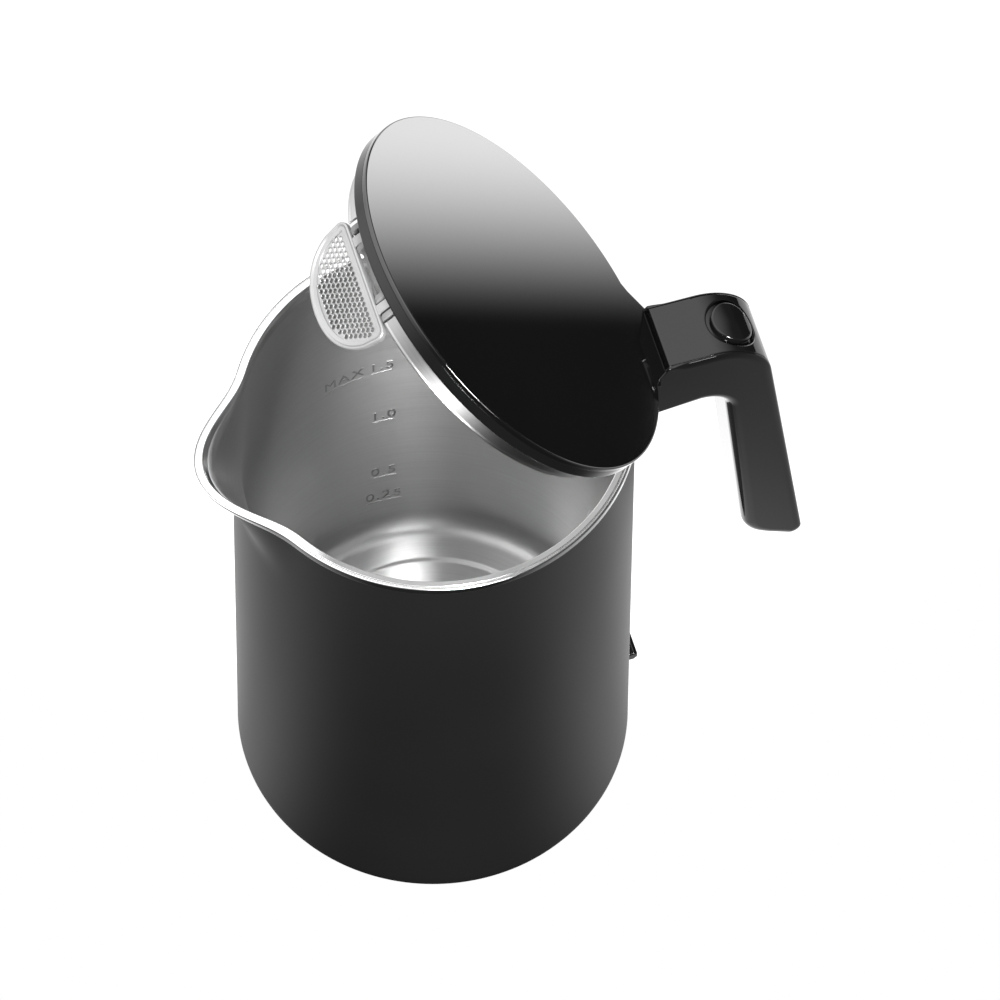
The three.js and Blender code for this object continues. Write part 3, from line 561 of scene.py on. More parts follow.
def inside(points, outline):
    """True for each point that an outline encloses: a ray from it crosses the outline an odd
    number of times."""
    x, y = points[:, :1], points[:, 1:]
    x0, y0 = outline[:, 0][None], outline[:, 1][None]
    x1, y1 = np.roll(outline, -1, 0)[:, 0][None], np.roll(outline, -1, 0)[:, 1][None]
    crosses = (y0 > y) != (y1 > y)
    at = x0 + (y - y0) / np.where(y1 == y0, 1e-9, y1 - y0) * (x1 - x0)
    return (crosses & (x < at)).sum(1) % 2 == 1


def make_holder():
    """Holder under the lid: a bar with two slotted jaws that grip the filter's tabs."""
    top, low = SKIRT_TOP, LID_TOP - FILTER_TOP + 0.3
    bar = [[FILTER_X + 1.2, low + 1.2], [FILTER_X + 1.8, low], [FILTER_X + 4.6, low], [FILTER_X + 4.6, top],
           [FILTER_X - 1.6, top], [FILTER_X - 1.6, top - 1.6], [FILTER_X + 1.2, top - 1.6]]
    side_piece("filter_holder_bar", bar, edge_rows(-20, 20, 0.4), M["filter_grey"], "lid",
               "grey_plastic", swing=True, replaces=["filter_holder"])
    for number, y in enumerate((-19.4, -11.6, 9.2, 17.0), 1):
        jaw = [[FILTER_X - 1.7, top - 1.7], [FILTER_X - 1.7, low + 1.6], [FILTER_X - 0.6, low],
               [FILTER_X + 1.9, low], [FILTER_X + 1.9, top - 1.7]]
        side_piece(f"filter_jaw_{number}", jaw, edge_rows(y, y + 2.3, 0.3), M["clip_grey"], "lid",
                   "grey_plastic", swing=True)


# ------------------------------------------------------------------ handle
BACK_DOWN = np.array([math.sin(BACK_LEAN), -math.cos(BACK_LEAN)])
INNER_DOWN = np.array([math.sin(INNER_LEAN), -math.cos(INNER_LEAN)])
BACK_START = BEND_C + BEND_R * np.array([math.cos(BACK_LEAN), math.sin(BACK_LEAN)])
INNER_START = CROOK_C + CROOK_R * np.array([math.cos(INNER_LEAN), math.sin(INNER_LEAN)])
BACK_END = BACK_START + BACK_DOWN * (BACK_START[1] - BACK_END_Z) / math.cos(BACK_LEAN)
INNER_END = INNER_START + INNER_DOWN * (INNER_START[1] - INNER_END_Z) / math.cos(INNER_LEAN)


def top_line(offset=0.0, step=0.8):
    """Side view of the handle's top and back, from the cover's front down to its lower end."""
    bend = arc(BEND_C, BEND_R + offset, 90, math.degrees(BACK_LEAN), 40)
    end = bend[-1] + BACK_DOWN * (bend[-1, 1] - COVER_END_Z) / math.cos(BACK_LEAN)
    return refined(np.concatenate([[[COVER_FRONT, ARM_TOP + offset]], bend, [end]]), step)


def handle_outlines():
    """Two side views with the same number of points, clockwise from the lower front: one of the
    side walls, one of the middle, which is lower under the cover and hollowed round the hinge."""
    bend = arc(BEND_C, BEND_R, 90, math.degrees(BACK_LEAN), 36)
    cover_foot = BACK_START + BACK_DOWN * (BACK_START[1] - COVER_END_Z) / math.cos(BACK_LEAN)
    foot = rounded([[*cover_foot, 0], [*BACK_END, 3.6], [*INNER_END, 13.5], [*INNER_START, 0]],
                   12, hold=0)
    crook = arc(CROOK_C, CROOK_R, math.degrees(INNER_LEAN), 90, 20)
    front = refined(np.array([[ARM_FRONT, ARM_LOW], [ARM_FRONT, SEAT]]), 2.0)
    steps = np.linspace(0, 1, 12)[:, None]
    wall_rise = np.concatenate([
        np.array([70.9, SEAT]) + steps * [7.0, 0], np.array([77.9, SEAT + 0.4]) + steps * [0, 5.2],
        np.array([78.2, ARM_TOP - 3.9]) + steps * [3.1, 3.9]])
    hollow = arc(HINGE[[0, 2]], 5.25, -92, 33, 33)
    hollow_rise = np.concatenate([np.array([[71.0, SEAT]]), hollow, [[81.55, ARM_TOP - COVER_T - 0.2]]])
    level = refined(np.array([[81.6, 0.0], [98.0, 0.0]]), 2.0)[:-1]
    inward = (BEND_C - bend) / BEND_R
    drop = COVER_T + 0.15
    back = refined(np.stack([bend[-1], cover_foot]), 6.0)[1:]
    outside = np.concatenate([front, wall_rise, level + [0, ARM_TOP], bend, back, foot, crook])
    middle_back = back - np.array([math.cos(BACK_LEAN), math.sin(BACK_LEAN)]) * drop
    middle = np.concatenate([front, hollow_rise, level + [0, ARM_TOP - drop], bend + inward * drop,
                             middle_back, foot, crook])
    apart = np.linalg.norm(outside - np.roll(outside, 1, 0), axis=1) > 0.02
    return outside[apart], middle[apart]


def make_handle_shell():
    """Side and inner shell: the side view carried across with its long edges rounded, more on
    the inner side; its middle stays below the cover and follows the body's round wall in front."""
    outside, middle = handle_outlines()
    inward = -normals_2d(outside, True)
    count = len(outside)
    index = np.arange(count)
    inner_side = smooth_step(outside[:, 0], 69.5, 76) * (index > count - 50)
    inner_side *= 1 - smooth_step(outside[:, 0], 116, 127)
    above = outside[:, 1] > ARM_LOW + 1
    plain = np.where(above & (index < 100), smooth_step(outside[:, 0], 82, 88),
                     smooth_step(outside[:, 0], 72, 78))
    soft_y = 0.3 + 0.8 * plain + 3.1 * inner_side
    soft_in = 0.3 + 2.5 * plain + 1.6 * inner_side
    half = [(np.full(count, HANDLE_HALF), outside + inward * (soft_in + 0.1)[:, None])]
    for t in np.linspace(np.pi / 2, 0, 9):
        inset = (soft_in * (1 - np.cos(t)))[:, None]
        half.append((HANDLE_HALF - soft_y * (1 - np.sin(t)), outside + inward * inset))
    half.append((np.minimum(REBATE_HALF, half[-1][0] - 0.02), outside))
    half.append((half[-1][0] - 0.04, middle))
    all_rows = [(-y, line) for y, line in half] + [(np.zeros(count), middle)] + half[::-1]
    grid = np.stack([np.stack([line[:, 0], y, line[:, 1]], -1) for y, line in all_rows])
    near = 1 - smooth_step(grid[..., 0], 71.0, 74.0)
    round_wall = np.sqrt(ARM_FRONT ** 2 - grid[..., 1] ** 2) - ARM_FRONT
    grid[..., 0] += near * round_wall
    beside_rim = (grid[..., 2] > RIM - 3.5) & (grid[..., 0] < ARM_FRONT_TOP + 0.1)
    grid[..., 0] = np.where(beside_rim, ARM_FRONT_TOP + round_wall, grid[..., 0])
    faces = grid_faces(len(all_rows), count, close_cols=True).tolist()
    last = (len(all_rows) - 1) * count
    faces += [list(range(count))[::-1], list(range(last, last + count))]
    piece("grip_shell", grid, faces, M["gloss_black"], "body", "gloss_black",
          replaces=["handle_shell"], sharp=38)


class TopSurface:
    """The handle's top as a surface of u, the length along its side view, and v, across it."""

    def __init__(self):
        self.line = top_line()
        self.length = along(self.line)
        self.normal = normals_2d(self.line, False)
        across = np.array([PRESS[2], -PRESS[0]])
        offset = self.line - BUTTON_AT[[0, 2]]
        self.p = offset @ across
        self.h = offset @ PRESS[[0, 2]]
        keep = np.concatenate([[True], np.diff(np.maximum.accumulate(self.p)) > 1e-9])
        self.p, self.h, self.u_at = self.p[keep], self.h[keep], self.length[keep]

    def point(self, u, v, drop):
        """Point at (u, v), moved in by drop."""
        at = np.stack([np.interp(u, self.length, self.line[:, k]) for k in (0, 1)], -1)
        normal = np.stack([np.interp(u, self.length, self.normal[:, k]) for k in (0, 1)], -1)
        at = at - normal * np.asarray(drop)[..., None]
        return np.stack([at[..., 0], v + 0 * u, at[..., 1]], -1)

    def u_of(self, p):
        """Length along the side view at a distance p in front of the button's axis."""
        return np.interp(p, self.p, self.u_at)

    def on_axis(self, r, a, depth):
        """Point at radius r and angle a about the button's axis, depth below the surface."""
        p, v = r * np.cos(a), r * np.sin(a)
        height = np.interp(p, self.p, self.h) - depth
        across = np.array([PRESS[2], 0, -PRESS[0]])
        return (BUTTON_AT + p[..., None] * across + height[..., None] * PRESS
                + v[..., None] * np.array([0, 1, 0]))


def make_cover():
    """Cover strip with a round well: two plain strips and, between them, a patch whose points
    run straight from the well's circle to a square; edges drop as quarter rounds."""
    top = TopSurface()
    half = COVER_HALF
    v = half * np.array([-1, -0.995, -0.985, -0.97, *np.linspace(-0.93, 0.93, 21), 0.97, 0.985, 0.995, 1])
    u_mid = top.u_of(0.0)
    u0, u1 = u_mid - half, u_mid + half
    u_patch = u0 + (v + half)

    def drop_at(vv, uu):
        edge = np.minimum(half - np.abs(vv), np.minimum(uu, top.length[-1] - uu))
        soft = 0.45
        t = np.clip(1 - edge / soft, 0, 1)
        return soft * (1 - np.sqrt(1 - t ** 2 * 0.98))

    def strip(us):
        uu, vv = np.meshgrid(us, v, indexing="ij")
        return top.point(uu, vv, drop_at(vv, uu)), grid_faces(len(us), len(v))

    ends = np.array([0, 0.08, 0.25, 0.5])
    before = np.concatenate([ends, np.linspace(1, u0, 14)])
    after = np.concatenate([np.linspace(u1, top.length[-1] - 1, 70), top.length[-1] - ends[::-1]])
    square = np.concatenate([
        np.stack([np.full(len(v), u0), v], 1)[::-1][:-1],
        np.stack([u_patch, np.full(len(v), -half)], 1)[:-1],
        np.stack([np.full(len(v), u1), v], 1)[:-1],
        np.stack([u_patch, np.full(len(v), half)], 1)[::-1][:-1]])
    angle = np.arctan2(square[:, 1], square[:, 0] - u_mid)
    circle = np.stack([top.u_of(WELL_R * np.cos(angle)), WELL_R * np.sin(angle)], 1)
    t = np.concatenate([[0, 0.02, 0.05, 0.1, 0.16], np.linspace(0.25, 1, 9)])[:, None, None]
    patch = circle[None] * (1 - t) + square[None] * t
    reach = np.linalg.norm(patch - circle[None], axis=2)
    hole_soft = 0.5
    s = np.clip(1 - reach / hole_soft, 0, 1)
    hole_drop = hole_soft * (1 - np.sqrt(1 - s ** 2 * 0.98))
    patch_points = top.point(patch[..., 0], patch[..., 1],
                             np.maximum(drop_at(patch[..., 1], patch[..., 0]), hole_drop))
    points, faces, offset = [], [], 0
    for grid, quads in (strip(before), strip(after),
                        (patch_points, grid_faces(*patch_points.shape[:2], close_cols=True)[:, ::-1])):
        points.append(grid.reshape(-1, 3))
        faces.append(quads + offset)
        offset += len(points[-1])
    cover = piece("grip_cover", np.concatenate(points), np.concatenate(faces), M["gloss_black"], "body",
                  "gloss_black", replaces=["handle_cover"], sharp=50)
    face_up(cover)
    thicken(cover, COVER_T, -1)


def face_up(obj):
    """Turns the faces of an open strip one way, and outwards from the handle."""
    work = bmesh.new()
    work.from_mesh(obj.data)
    bmesh.ops.recalc_face_normals(work, faces=work.faces)
    work.faces.ensure_lookup_table()
    highest = max(work.faces, key=lambda f: f.calc_center_median().z)
    if highest.normal.z < 0:
        bmesh.ops.reverse_faces(work, faces=work.faces)
    work.to_mesh(obj.data)
    work.free()


def make_button():
    """Release button and the well round it. Both follow the handle's top along the button's
    axis; the cap stands proud, with a quarter-round edge, and the well lies below."""
    top = TopSurface()
    a = np.linspace(0, 2 * np.pi, 96, endpoint=False)
    r_line = rounded([[0, -PROUD - 0.25, 0], [BUTTON_R, -PROUD + 0.1, 0.7], [BUTTON_R, 5.5, 0.3],
                      [0, 5.5, 0]], 8)
    r_line = refined(r_line, 0.9)
    rr, aa = np.meshgrid(r_line[:, 0], a, indexing="ij")
    grid_piece("release_cap", top.on_axis(rr, aa, r_line[:, 1][:, None] + 0 * aa), M["gloss_black"],
               "button", "gloss_black", close_cols=True, replaces=["release_button"], sharp=50)
    w_line = rounded([[WELL_R + 0.1, 0.95, 0], [WELL_R - 0.05, 0.95, 0], [WELL_R - 0.05, 2.6, 0.35],
                      [BUTTON_R + 0.3, 2.9, 0.3], [BUTTON_R + 0.3, 7.5, 0.1], [WELL_R + 0.1, 7.5, 0]], 5)
    rr, aa = np.meshgrid(w_line[:, 0], a, indexing="ij")
    grid_piece("button_well", top.on_axis(rr, aa, w_line[:, 1][:, None] + 0 * aa), M["gloss_black"],
               "body", "matt_black", close_rows=True, close_cols=True, replaces=["button_guide"],
               sharp=50)


# ------------------------------------------------------------------ lever and base
def make_lever():
    """Power lever: a paddle with a thumb hollow, and the frame round it."""
    x, z = LEVER[0], LEVER[2]
    line = rounded([[x - 3.8, z - 1.5, 0], [x + 7, z - 2.1, 1], [x + 12.2, z - 2.5, 1.0],
                    [x + 13.9, z - 1.0, 0.9], [x + 13.7, z + 1.2, 0.8], [x + 12.4, z + 2.0, 0.5], [x + 10.6, z + 1.5, 1.0],
                    [x + 7, z + 1.8, 1], [x - 3.8, z + 1.5, 0]], 5)
    side_piece("lever_paddle", line, edge_rows(-6.9, 6.9, 0.8), M["gloss_black"], "lever",
               "gloss_black", replaces=["power_lever"])
    a = np.linspace(0, 2 * np.pi, 96, endpoint=False)
    section = rounded([[0, -0.9, 0], [0, 0.55, 0.25], [1.1, 0.4, 0.3], [1.3, -0.2, 0.1], [1.3, -0.9, 0]], 4)
    half_w, half_h = 7.1, 4.2
    corner = np.stack([np.sign(np.cos(a)) * np.abs(np.cos(a)) ** 0.35,
                       np.sign(np.sin(a)) * np.abs(np.sin(a)) ** 0.35], 1)
    y = corner[:, 0][None] * (half_w + section[:, :1])
    height = 25.9 + corner[:, 1][None] * (half_h + section[:, :1])
    radius = BODY_R + section[:, 1:2]
    grid = np.stack([np.sqrt(radius ** 2 - y ** 2), y, height], -1)
    grid_piece("lever_frame", grid, M["matt_black"], "body", "painted_black", close_rows=True,
               close_cols=True, sharp=45)


def make_base():
    """Base cover with concentric steps, rubber feet and the rounded edge of the socket."""
    z = UNDERSIDE
    line = rounded([[17.3, 4, 0], [17.3, z, 0.3], [19.5, z, 0.3], [20.0, z + 0.7, 0.3], [36, z + 0.7, 0.3],
                    [36.5, z, 0.3], [55.6, z, 0.4], [55.6, 4, 0]], 4)
    turned_piece("base_disc", refined(line, 4), M["matt_black"], "body", "matt_black",
                 steps=192, replaces=["base_cover"])
    for number in (1, 2, 3):
        low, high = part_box(f"foot_{number}")
        centre = [(low.x + high.x) / 2 / MM - AXIS_X, (low.y + high.y) / 2 / MM, 0]
        foot = rounded([[0, 0.25, 0], [4.2, 0.25, 0.2], [4.5, 0, 0.15], [5.6, 0, 0.4], [6.0, 0.7, 0.3],
                        [6.0, 2.1, 0], [0, 2.1, 0]], 4)
        turned_piece(f"rubber_foot_{number}", foot, M["silicone"], "body", "silicone", centre=centre,
                     steps=48, replaces=[f"foot_{number}"])


def make_steam_tube():
    """Steam tube with a rolled mouth."""
    low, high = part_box("steam_tube")
    centre = [(low.x + high.x) / 2 / MM - AXIS_X, (low.y + high.y) / 2 / MM, 0]
    z0, z1 = low.z / MM, high.z / MM
    line = rounded([[2.2, z0, 0], [2.9, z0, 0.1], [2.9, z1 - 1.2, 0.6], [3.2, z1 - 0.6, 0.4],
                    [2.9, z1, 0.3], [2.2, z1, 0.3], [2.2, z0, 0]], 4)[:-1]
    turned_piece("steam_pipe", refined(line, 12), M["brushed_steel"], "body", "brushed_steel",
                 centre=centre, steps=40, replaces=["steam_tube"])


# ------------------------------------------------------------------ material groups
def new_group(name, inputs, outputs):
    """An empty node group with named inputs [(name, kind, value)] and outputs [(name, kind)]."""
    group = bpy.data.node_groups.new(name, "ShaderNodeTree")
    for label, kind, value in inputs:
        socket = group.interface.new_socket(label, in_out="INPUT", socket_type=kind)
        socket.default_value = value
    for label, kind in outputs:
        group.interface.new_socket(label, in_out="OUTPUT", socket_type=kind)
    return group, group.nodes.new("NodeGroupInput"), group.nodes.new("NodeGroupOutput")


def wire_nodes(tree, *links):
    """Joins each [output, input] pair."""
    for source, target in links:
        tree.links.new(source, target)


def math_node(tree, operation, a, b=None, clamp=False):
    """One arithmetic step; a and b are sockets or numbers."""
    node = tree.nodes.new("ShaderNodeMath")
    node.operation, node.use_clamp = operation, clamp
    for slot_index, value in enumerate((a, b)):
        if value is None:
            continue
        if isinstance(value, (int, float)):
            node.inputs[slot_index].default_value = value
        else:
            tree.links.new(value, node.inputs[slot_index])
    return node.outputs[0]


def fine_grain_group():
    """Grain of a moulded or sprayed surface: two noises, one fine and one broad, put out as a
    height and as a value that varies about 0."""
    group, inside_in, out = new_group(
        "fine_grain", [("Scale", "NodeSocketFloat", 900.0), ("Broad", "NodeSocketFloat", 18.0)],
        [("Height", "NodeSocketFloat"), ("Drift", "NodeSocketFloat")])
    place = group.nodes.new("ShaderNodeTexCoord")
    fine, broad = (group.nodes.new("ShaderNodeTexNoise") for _ in range(2))
    fine.inputs["Detail"].default_value = 4.0
    broad.inputs["Detail"].default_value = 2.0
    wire_nodes(group, (place.outputs["Object"], fine.inputs["Vector"]),
               (place.outputs["Object"], broad.inputs["Vector"]),
               (inside_in.outputs["Scale"], fine.inputs["Scale"]),
               (inside_in.outputs["Broad"], broad.inputs["Scale"]),
               (fine.outputs["Fac"], out.inputs["Height"]),
               (math_node(group, "SUBTRACT", broad.outputs["Fac"], 0.5), out.inputs["Drift"]))
    return group


def brushing_group():
    """Brushing along U of the surface's own map: noise stretched along U, in coarse and fine
    lines, put out as a height and as a value that varies about 0."""
    group, inside_in, out = new_group(
        "brushing", [("Lines", "NodeSocketFloat", 260.0), ("Stretch", "NodeSocketFloat", 6.0)],
        [("Height", "NodeSocketFloat"), ("Drift", "NodeSocketFloat")])
    place = group.nodes.new("ShaderNodeUVMap")
    split = group.nodes.new("ShaderNodeSeparateXYZ")
    wire_nodes(group, (place.outputs["UV"], split.inputs[0]))
    values = []
    for share, stretch in ((1.0, 1.0), (3.1, 2.3)):
        join = group.nodes.new("ShaderNodeCombineXYZ")
        noise = group.nodes.new("ShaderNodeTexNoise")
        noise.inputs["Scale"].default_value = 1.0
        noise.inputs["Detail"].default_value = 3.0
        lines = math_node(group, "MULTIPLY", inside_in.outputs["Lines"], share)
        reach = math_node(group, "MULTIPLY", inside_in.outputs["Stretch"], stretch)
        wire_nodes(group, (math_node(group, "MULTIPLY", split.outputs[0], reach), join.inputs[0]),
                   (math_node(group, "MULTIPLY", split.outputs[1], lines), join.inputs[1]),
                   (join.outputs[0], noise.inputs["Vector"]))
        values.append(noise.outputs["Fac"])
    both = math_node(group, "MULTIPLY", math_node(group, "ADD", *values), 0.5)
    wire_nodes(group, (both, out.inputs["Height"]),
               (math_node(group, "SUBTRACT", both, 0.5), out.inputs["Drift"]))
    return group


def painted_highlight_group():
    """Painted highlight on convex edges: pointiness sharpened and broken up by noise, put out as a mask that
    lightens the colour there.
    """
    group, inside_in, out = new_group(
        "painted_edge_highlight", [("Amount", "NodeSocketFloat", 0.3)], [("Mask", "NodeSocketFloat")])
    shape = group.nodes.new("ShaderNodeNewGeometry")
    place = group.nodes.new("ShaderNodeTexCoord")
    noise = group.nodes.new("ShaderNodeTexNoise")
    noise.inputs["Scale"].default_value = 60.0
    wire_nodes(group, (place.outputs["Object"], noise.inputs["Vector"]))
    sharp = math_node(group, "MULTIPLY", math_node(group, "SUBTRACT", shape.outputs["Pointiness"], 0.53),
                      9.0, clamp=True)
    broken = math_node(group, "MULTIPLY", sharp, noise.outputs["Fac"])
    wire_nodes(group, (math_node(group, "MULTIPLY", broken, inside_in.outputs["Amount"], clamp=True),
                       out.inputs["Mask"]))
    return group


def finish(name, colour, light, roughness, spread, bump, group, settings, metallic=0.0, highlight_amount=0.0, **plain):
    """A material: colour moves towards light with the group's drift, and on convex edges as a painted highlight;
    roughness moves about its middle by spread, and the group's height is a bump of that depth in mm."""
    material = bpy.data.materials.new(name)
    material.use_nodes = True
    tree = material.node_tree
    shader = tree.nodes["Principled BSDF"]
    shader.inputs["Metallic"].default_value = metallic
    for label, value in plain.items():
        shader.inputs[label.replace("_", " ")].default_value = value
    detail = tree.nodes.new("ShaderNodeGroup")
    detail.node_tree = group
    for label, value in settings.items():
        detail.inputs[label].default_value = value
    mix = tree.nodes.new("ShaderNodeMix")
    mix.data_type = "RGBA"
    mix.inputs["A"].default_value = (*colour, 1)
    mix.inputs["B"].default_value = (*light, 1)
    share = math_node(tree, "ADD", math_node(tree, "MULTIPLY", detail.outputs["Drift"], 1.6), 0.5,
                      clamp=True)
    # painted highlight: the edge mask lightens the colour of convex edges
    if highlight_amount:
        highlight_node = tree.nodes.new("ShaderNodeGroup")
        highlight_node.node_tree = GROUPS["painted_edge_highlight"]
        highlight_node.inputs["Amount"].default_value = highlight_amount
        share = math_node(tree, "ADD", share, highlight_node.outputs["Mask"], clamp=True)
    rough = math_node(tree, "ADD", math_node(tree, "MULTIPLY", detail.outputs["Drift"], spread),
                      roughness, clamp=True)
    if "Anisotropic" in plain:
        tangent = tree.nodes.new("ShaderNodeTangent")
        tangent.direction_type = "UV_MAP"
        tangent.uv_map = "surface"
        shader.inputs["Anisotropic Rotation"].default_value = 0.25
        tree.links.new(tangent.outputs[0], shader.inputs["Tangent"])
    relief = tree.nodes.new("ShaderNodeBump")
    relief.inputs["Distance"].default_value = bump * MM
    wire_nodes(tree, (share, mix.inputs["Factor"]), (mix.outputs["Result"], shader.inputs["Base Color"]),
               (rough, shader.inputs["Roughness"]), (detail.outputs["Height"], relief.inputs["Height"]),
               (relief.outputs["Normal"], shader.inputs["Normal"]))
    return material


def grey(value):
    return (value, value, value)


def make_materials():
    """Every finish by name. The brushed one alone stretches its gloss across the brushing."""
    grain, brush = GROUPS["fine_grain"], GROUPS["brushing"]
    return {
        # the edge amount on some rows below paints a highlight on their convex edges
        "painted_black": finish("painted_black", grey(0.005), grey(0.007), 0.46, 0.06, 0.02, grain,
                                {"Scale": 1400.0, "Broad": 9.0}, highlight_amount=0.3),
        "gloss_black": finish("gloss_black", grey(0.003), grey(0.005), 0.07, 0.03, 0.002, grain,
                              {"Scale": 260.0, "Broad": 14.0}, highlight_amount=0.2),
        "gloss_face": finish("gloss_face", grey(0.002), grey(0.003), 0.05, 0.015, 0.0, grain,
                             {"Scale": 200.0, "Broad": 8.0}, Coat_Weight=1.0, Coat_Roughness=0.02),
        "matt_black": finish("matt_black", grey(0.012), grey(0.022), 0.55, 0.1, 0.05, grain,
                             {"Scale": 1700.0, "Broad": 20.0}, highlight_amount=0.3),
        "polished_steel": finish("polished_steel", grey(0.90), grey(0.95), 0.14, 0.05, 0.004, grain,
                                 {"Scale": 700.0, "Broad": 30.0}, metallic=1.0),
        "sheet_steel": finish("sheet_steel", grey(0.36), grey(0.48), 0.3, 0.1, 0.01, grain,
                              {"Scale": 900.0, "Broad": 60.0}, metallic=1.0),
        "brushed_steel": finish("brushed_steel", grey(0.50), grey(0.64), 0.33, 0.16, 0.012, brush,
                                {"Lines": 420.0, "Stretch": 9.0}, metallic=1.0, Anisotropic=0.8),
        "mark_steel": finish("mark_steel", grey(0.34), grey(0.42), 0.35, 0.1, 0.004, grain,
                             {"Scale": 900.0, "Broad": 60.0}, metallic=1.0),
        "filter_grey": finish("filter_grey", grey(0.30), grey(0.38), 0.3, 0.08, 0.008, grain,
                              {"Scale": 800.0, "Broad": 40.0}, metallic=0.5),
        "clip_grey": finish("clip_grey", grey(0.22), grey(0.28), 0.35, 0.08, 0.01, grain,
                            {"Scale": 800.0, "Broad": 40.0}, metallic=0.3),
        "silicone": finish("silicone", grey(0.03), grey(0.045), 0.75, 0.1, 0.02, grain,
                           {"Scale": 1200.0, "Broad": 50.0}),
        "control_plastic": finish("control_plastic", grey(0.02), grey(0.035), 0.5, 0.1, 0.02, grain,
                                  {"Scale": 900.0, "Broad": 30.0}),
        "alloy": finish("alloy", grey(0.45), grey(0.55), 0.42, 0.12, 0.02, grain,
                        {"Scale": 600.0, "Broad": 30.0}, metallic=1.0),
        "brass": finish("brass", (0.55, 0.38, 0.14), (0.68, 0.5, 0.2), 0.3, 0.1, 0.01, grain,
                        {"Scale": 700.0, "Broad": 60.0}, metallic=1.0),
    }


SLOT_FINISH = {"painted_black": "painted_black", "gloss_black": "gloss_black", "matt_black": "matt_black",
               "polished_steel": "polished_steel", "brushed_steel": "alloy", "heater_plate": "alloy",
               "heater_sheath": "alloy", "control_plastic": "control_plastic", "brass": "brass",
               "spring_steel": "polished_steel", "silicone": "silicone", "grey_plastic": "filter_grey"}


def finish_cad_nodes():
    """Gives every CAD node the finish of its slot; the meshes stay as they are."""
    slots = {row["node"]: row["material_slot"] for row in frame["record"]["subparts"]}
    for name, node in frame["nodes"].items():
        node.data.materials.clear()
        node.data.materials.append(M[SLOT_FINISH[slots[name]]])


# ------------------------------------------------------------------ studio
AZIMUTH, ELEVATION = math.radians(-17.0), math.radians(60.1)
BACK = np.array([math.sin(AZIMUTH) * math.cos(ELEVATION), -math.cos(AZIMUTH) * math.cos(ELEVATION),
                 math.sin(ELEVATION)])
RIGHT = np.array([math.cos(AZIMUTH), math.sin(AZIMUTH), 0])
UP = np.cross(BACK, RIGHT)
CARD_MID, CARD_FADE = 33.5, 0.037


def place_camera():
    """Long lens at the azimuth and elevation of the shot, aimed so that the body's axis at 91 mm
    height falls where it does in the frame; no shift."""
    target = np.array([AXIS_X, 0, 91.0]) * MM
    eye = target + 4.998 * BACK
    aim = target + 0.0236 * RIGHT + 0.0364 * UP
    data = bpy.data.cameras.new("camera")
    data.lens, data.sensor_width, data.clip_start = 507.9, 36.0, 0.1
    camera = bpy.data.objects.new("camera", data)
    bpy.context.scene.collection.objects.link(camera)
    away = (eye - aim) / np.linalg.norm(eye - aim)
    level = RIGHT - (RIGHT @ away) * away
    level /= np.linalg.norm(level)
    upward = np.cross(away, level)
    roll = math.radians(0.17)
    side = level * math.cos(roll) + upward * math.sin(roll)
    axes = np.stack([side, np.cross(away, side), away], 1)
    camera.location = eye
    camera.rotation_mode = "QUATERNION"
    camera.rotation_quaternion = Matrix(axes.tolist()).to_quaternion()
    bpy.context.scene.camera = camera


def area_light(name, place, aim, size, power):
    """A rectangular light at place, turned to aim."""
    data = bpy.data.lights.new(name, "AREA")
    data.shape, data.size, data.size_y, data.energy = "RECTANGLE", size[0], size[1], power
    light = bpy.data.objects.new(name, data)
    bpy.context.scene.collection.objects.link(light)
    light.location = place
    light.rotation_mode = "QUATERNION"
    light.rotation_quaternion = (Vector(aim) - Vector(place)).to_track_quat("-Z", "Y")


def emitter(name):
    """A material that only gives light, with its node tree and its emission node."""
    material = bpy.data.materials.new(name)
    material.use_nodes = True
    tree = material.node_tree
    tree.nodes.clear()
    light = tree.nodes.new("ShaderNodeEmission")
    out = tree.nodes.new("ShaderNodeOutputMaterial")
    tree.links.new(light.outputs[0], out.inputs["Surface"])
    return material, tree, light


def smooth_ramp(tree, value, low, high, at_low, at_high):
    """A value carried smoothly from at_low to at_high while its input goes from low to high."""
    ramp = tree.nodes.new("ShaderNodeMapRange")
    ramp.interpolation_type = "SMOOTHSTEP"
    tree.links.new(value, ramp.inputs["Value"])
    for label, number in (("From Min", low), ("From Max", high), ("To Min", at_low), ("To Max", at_high)):
        ramp.inputs[label].default_value = number
    return ramp.outputs["Result"]


def make_world():
    """Soft light in one patch, high behind on the left, in a world that is otherwise near dark."""
    world = bpy.data.worlds.new("studio")
    bpy.context.scene.world = world
    world.use_nodes = True
    tree = world.node_tree
    back = tree.nodes["Background"]
    place, toward = tree.nodes.new("ShaderNodeTexCoord"), tree.nodes.new("ShaderNodeVectorMath")
    toward.operation = "DOT_PRODUCT"
    toward.inputs[1].default_value = (-0.42, 0.5, 0.76)
    tree.links.new(place.outputs["Generated"], toward.inputs[0])
    patch = smooth_ramp(tree, toward.outputs["Value"], 0.25, 0.92, 0.05, 1.9)
    tree.links.new(patch, back.inputs["Strength"])
    back.inputs["Color"].default_value = (1, 1, 1, 1)


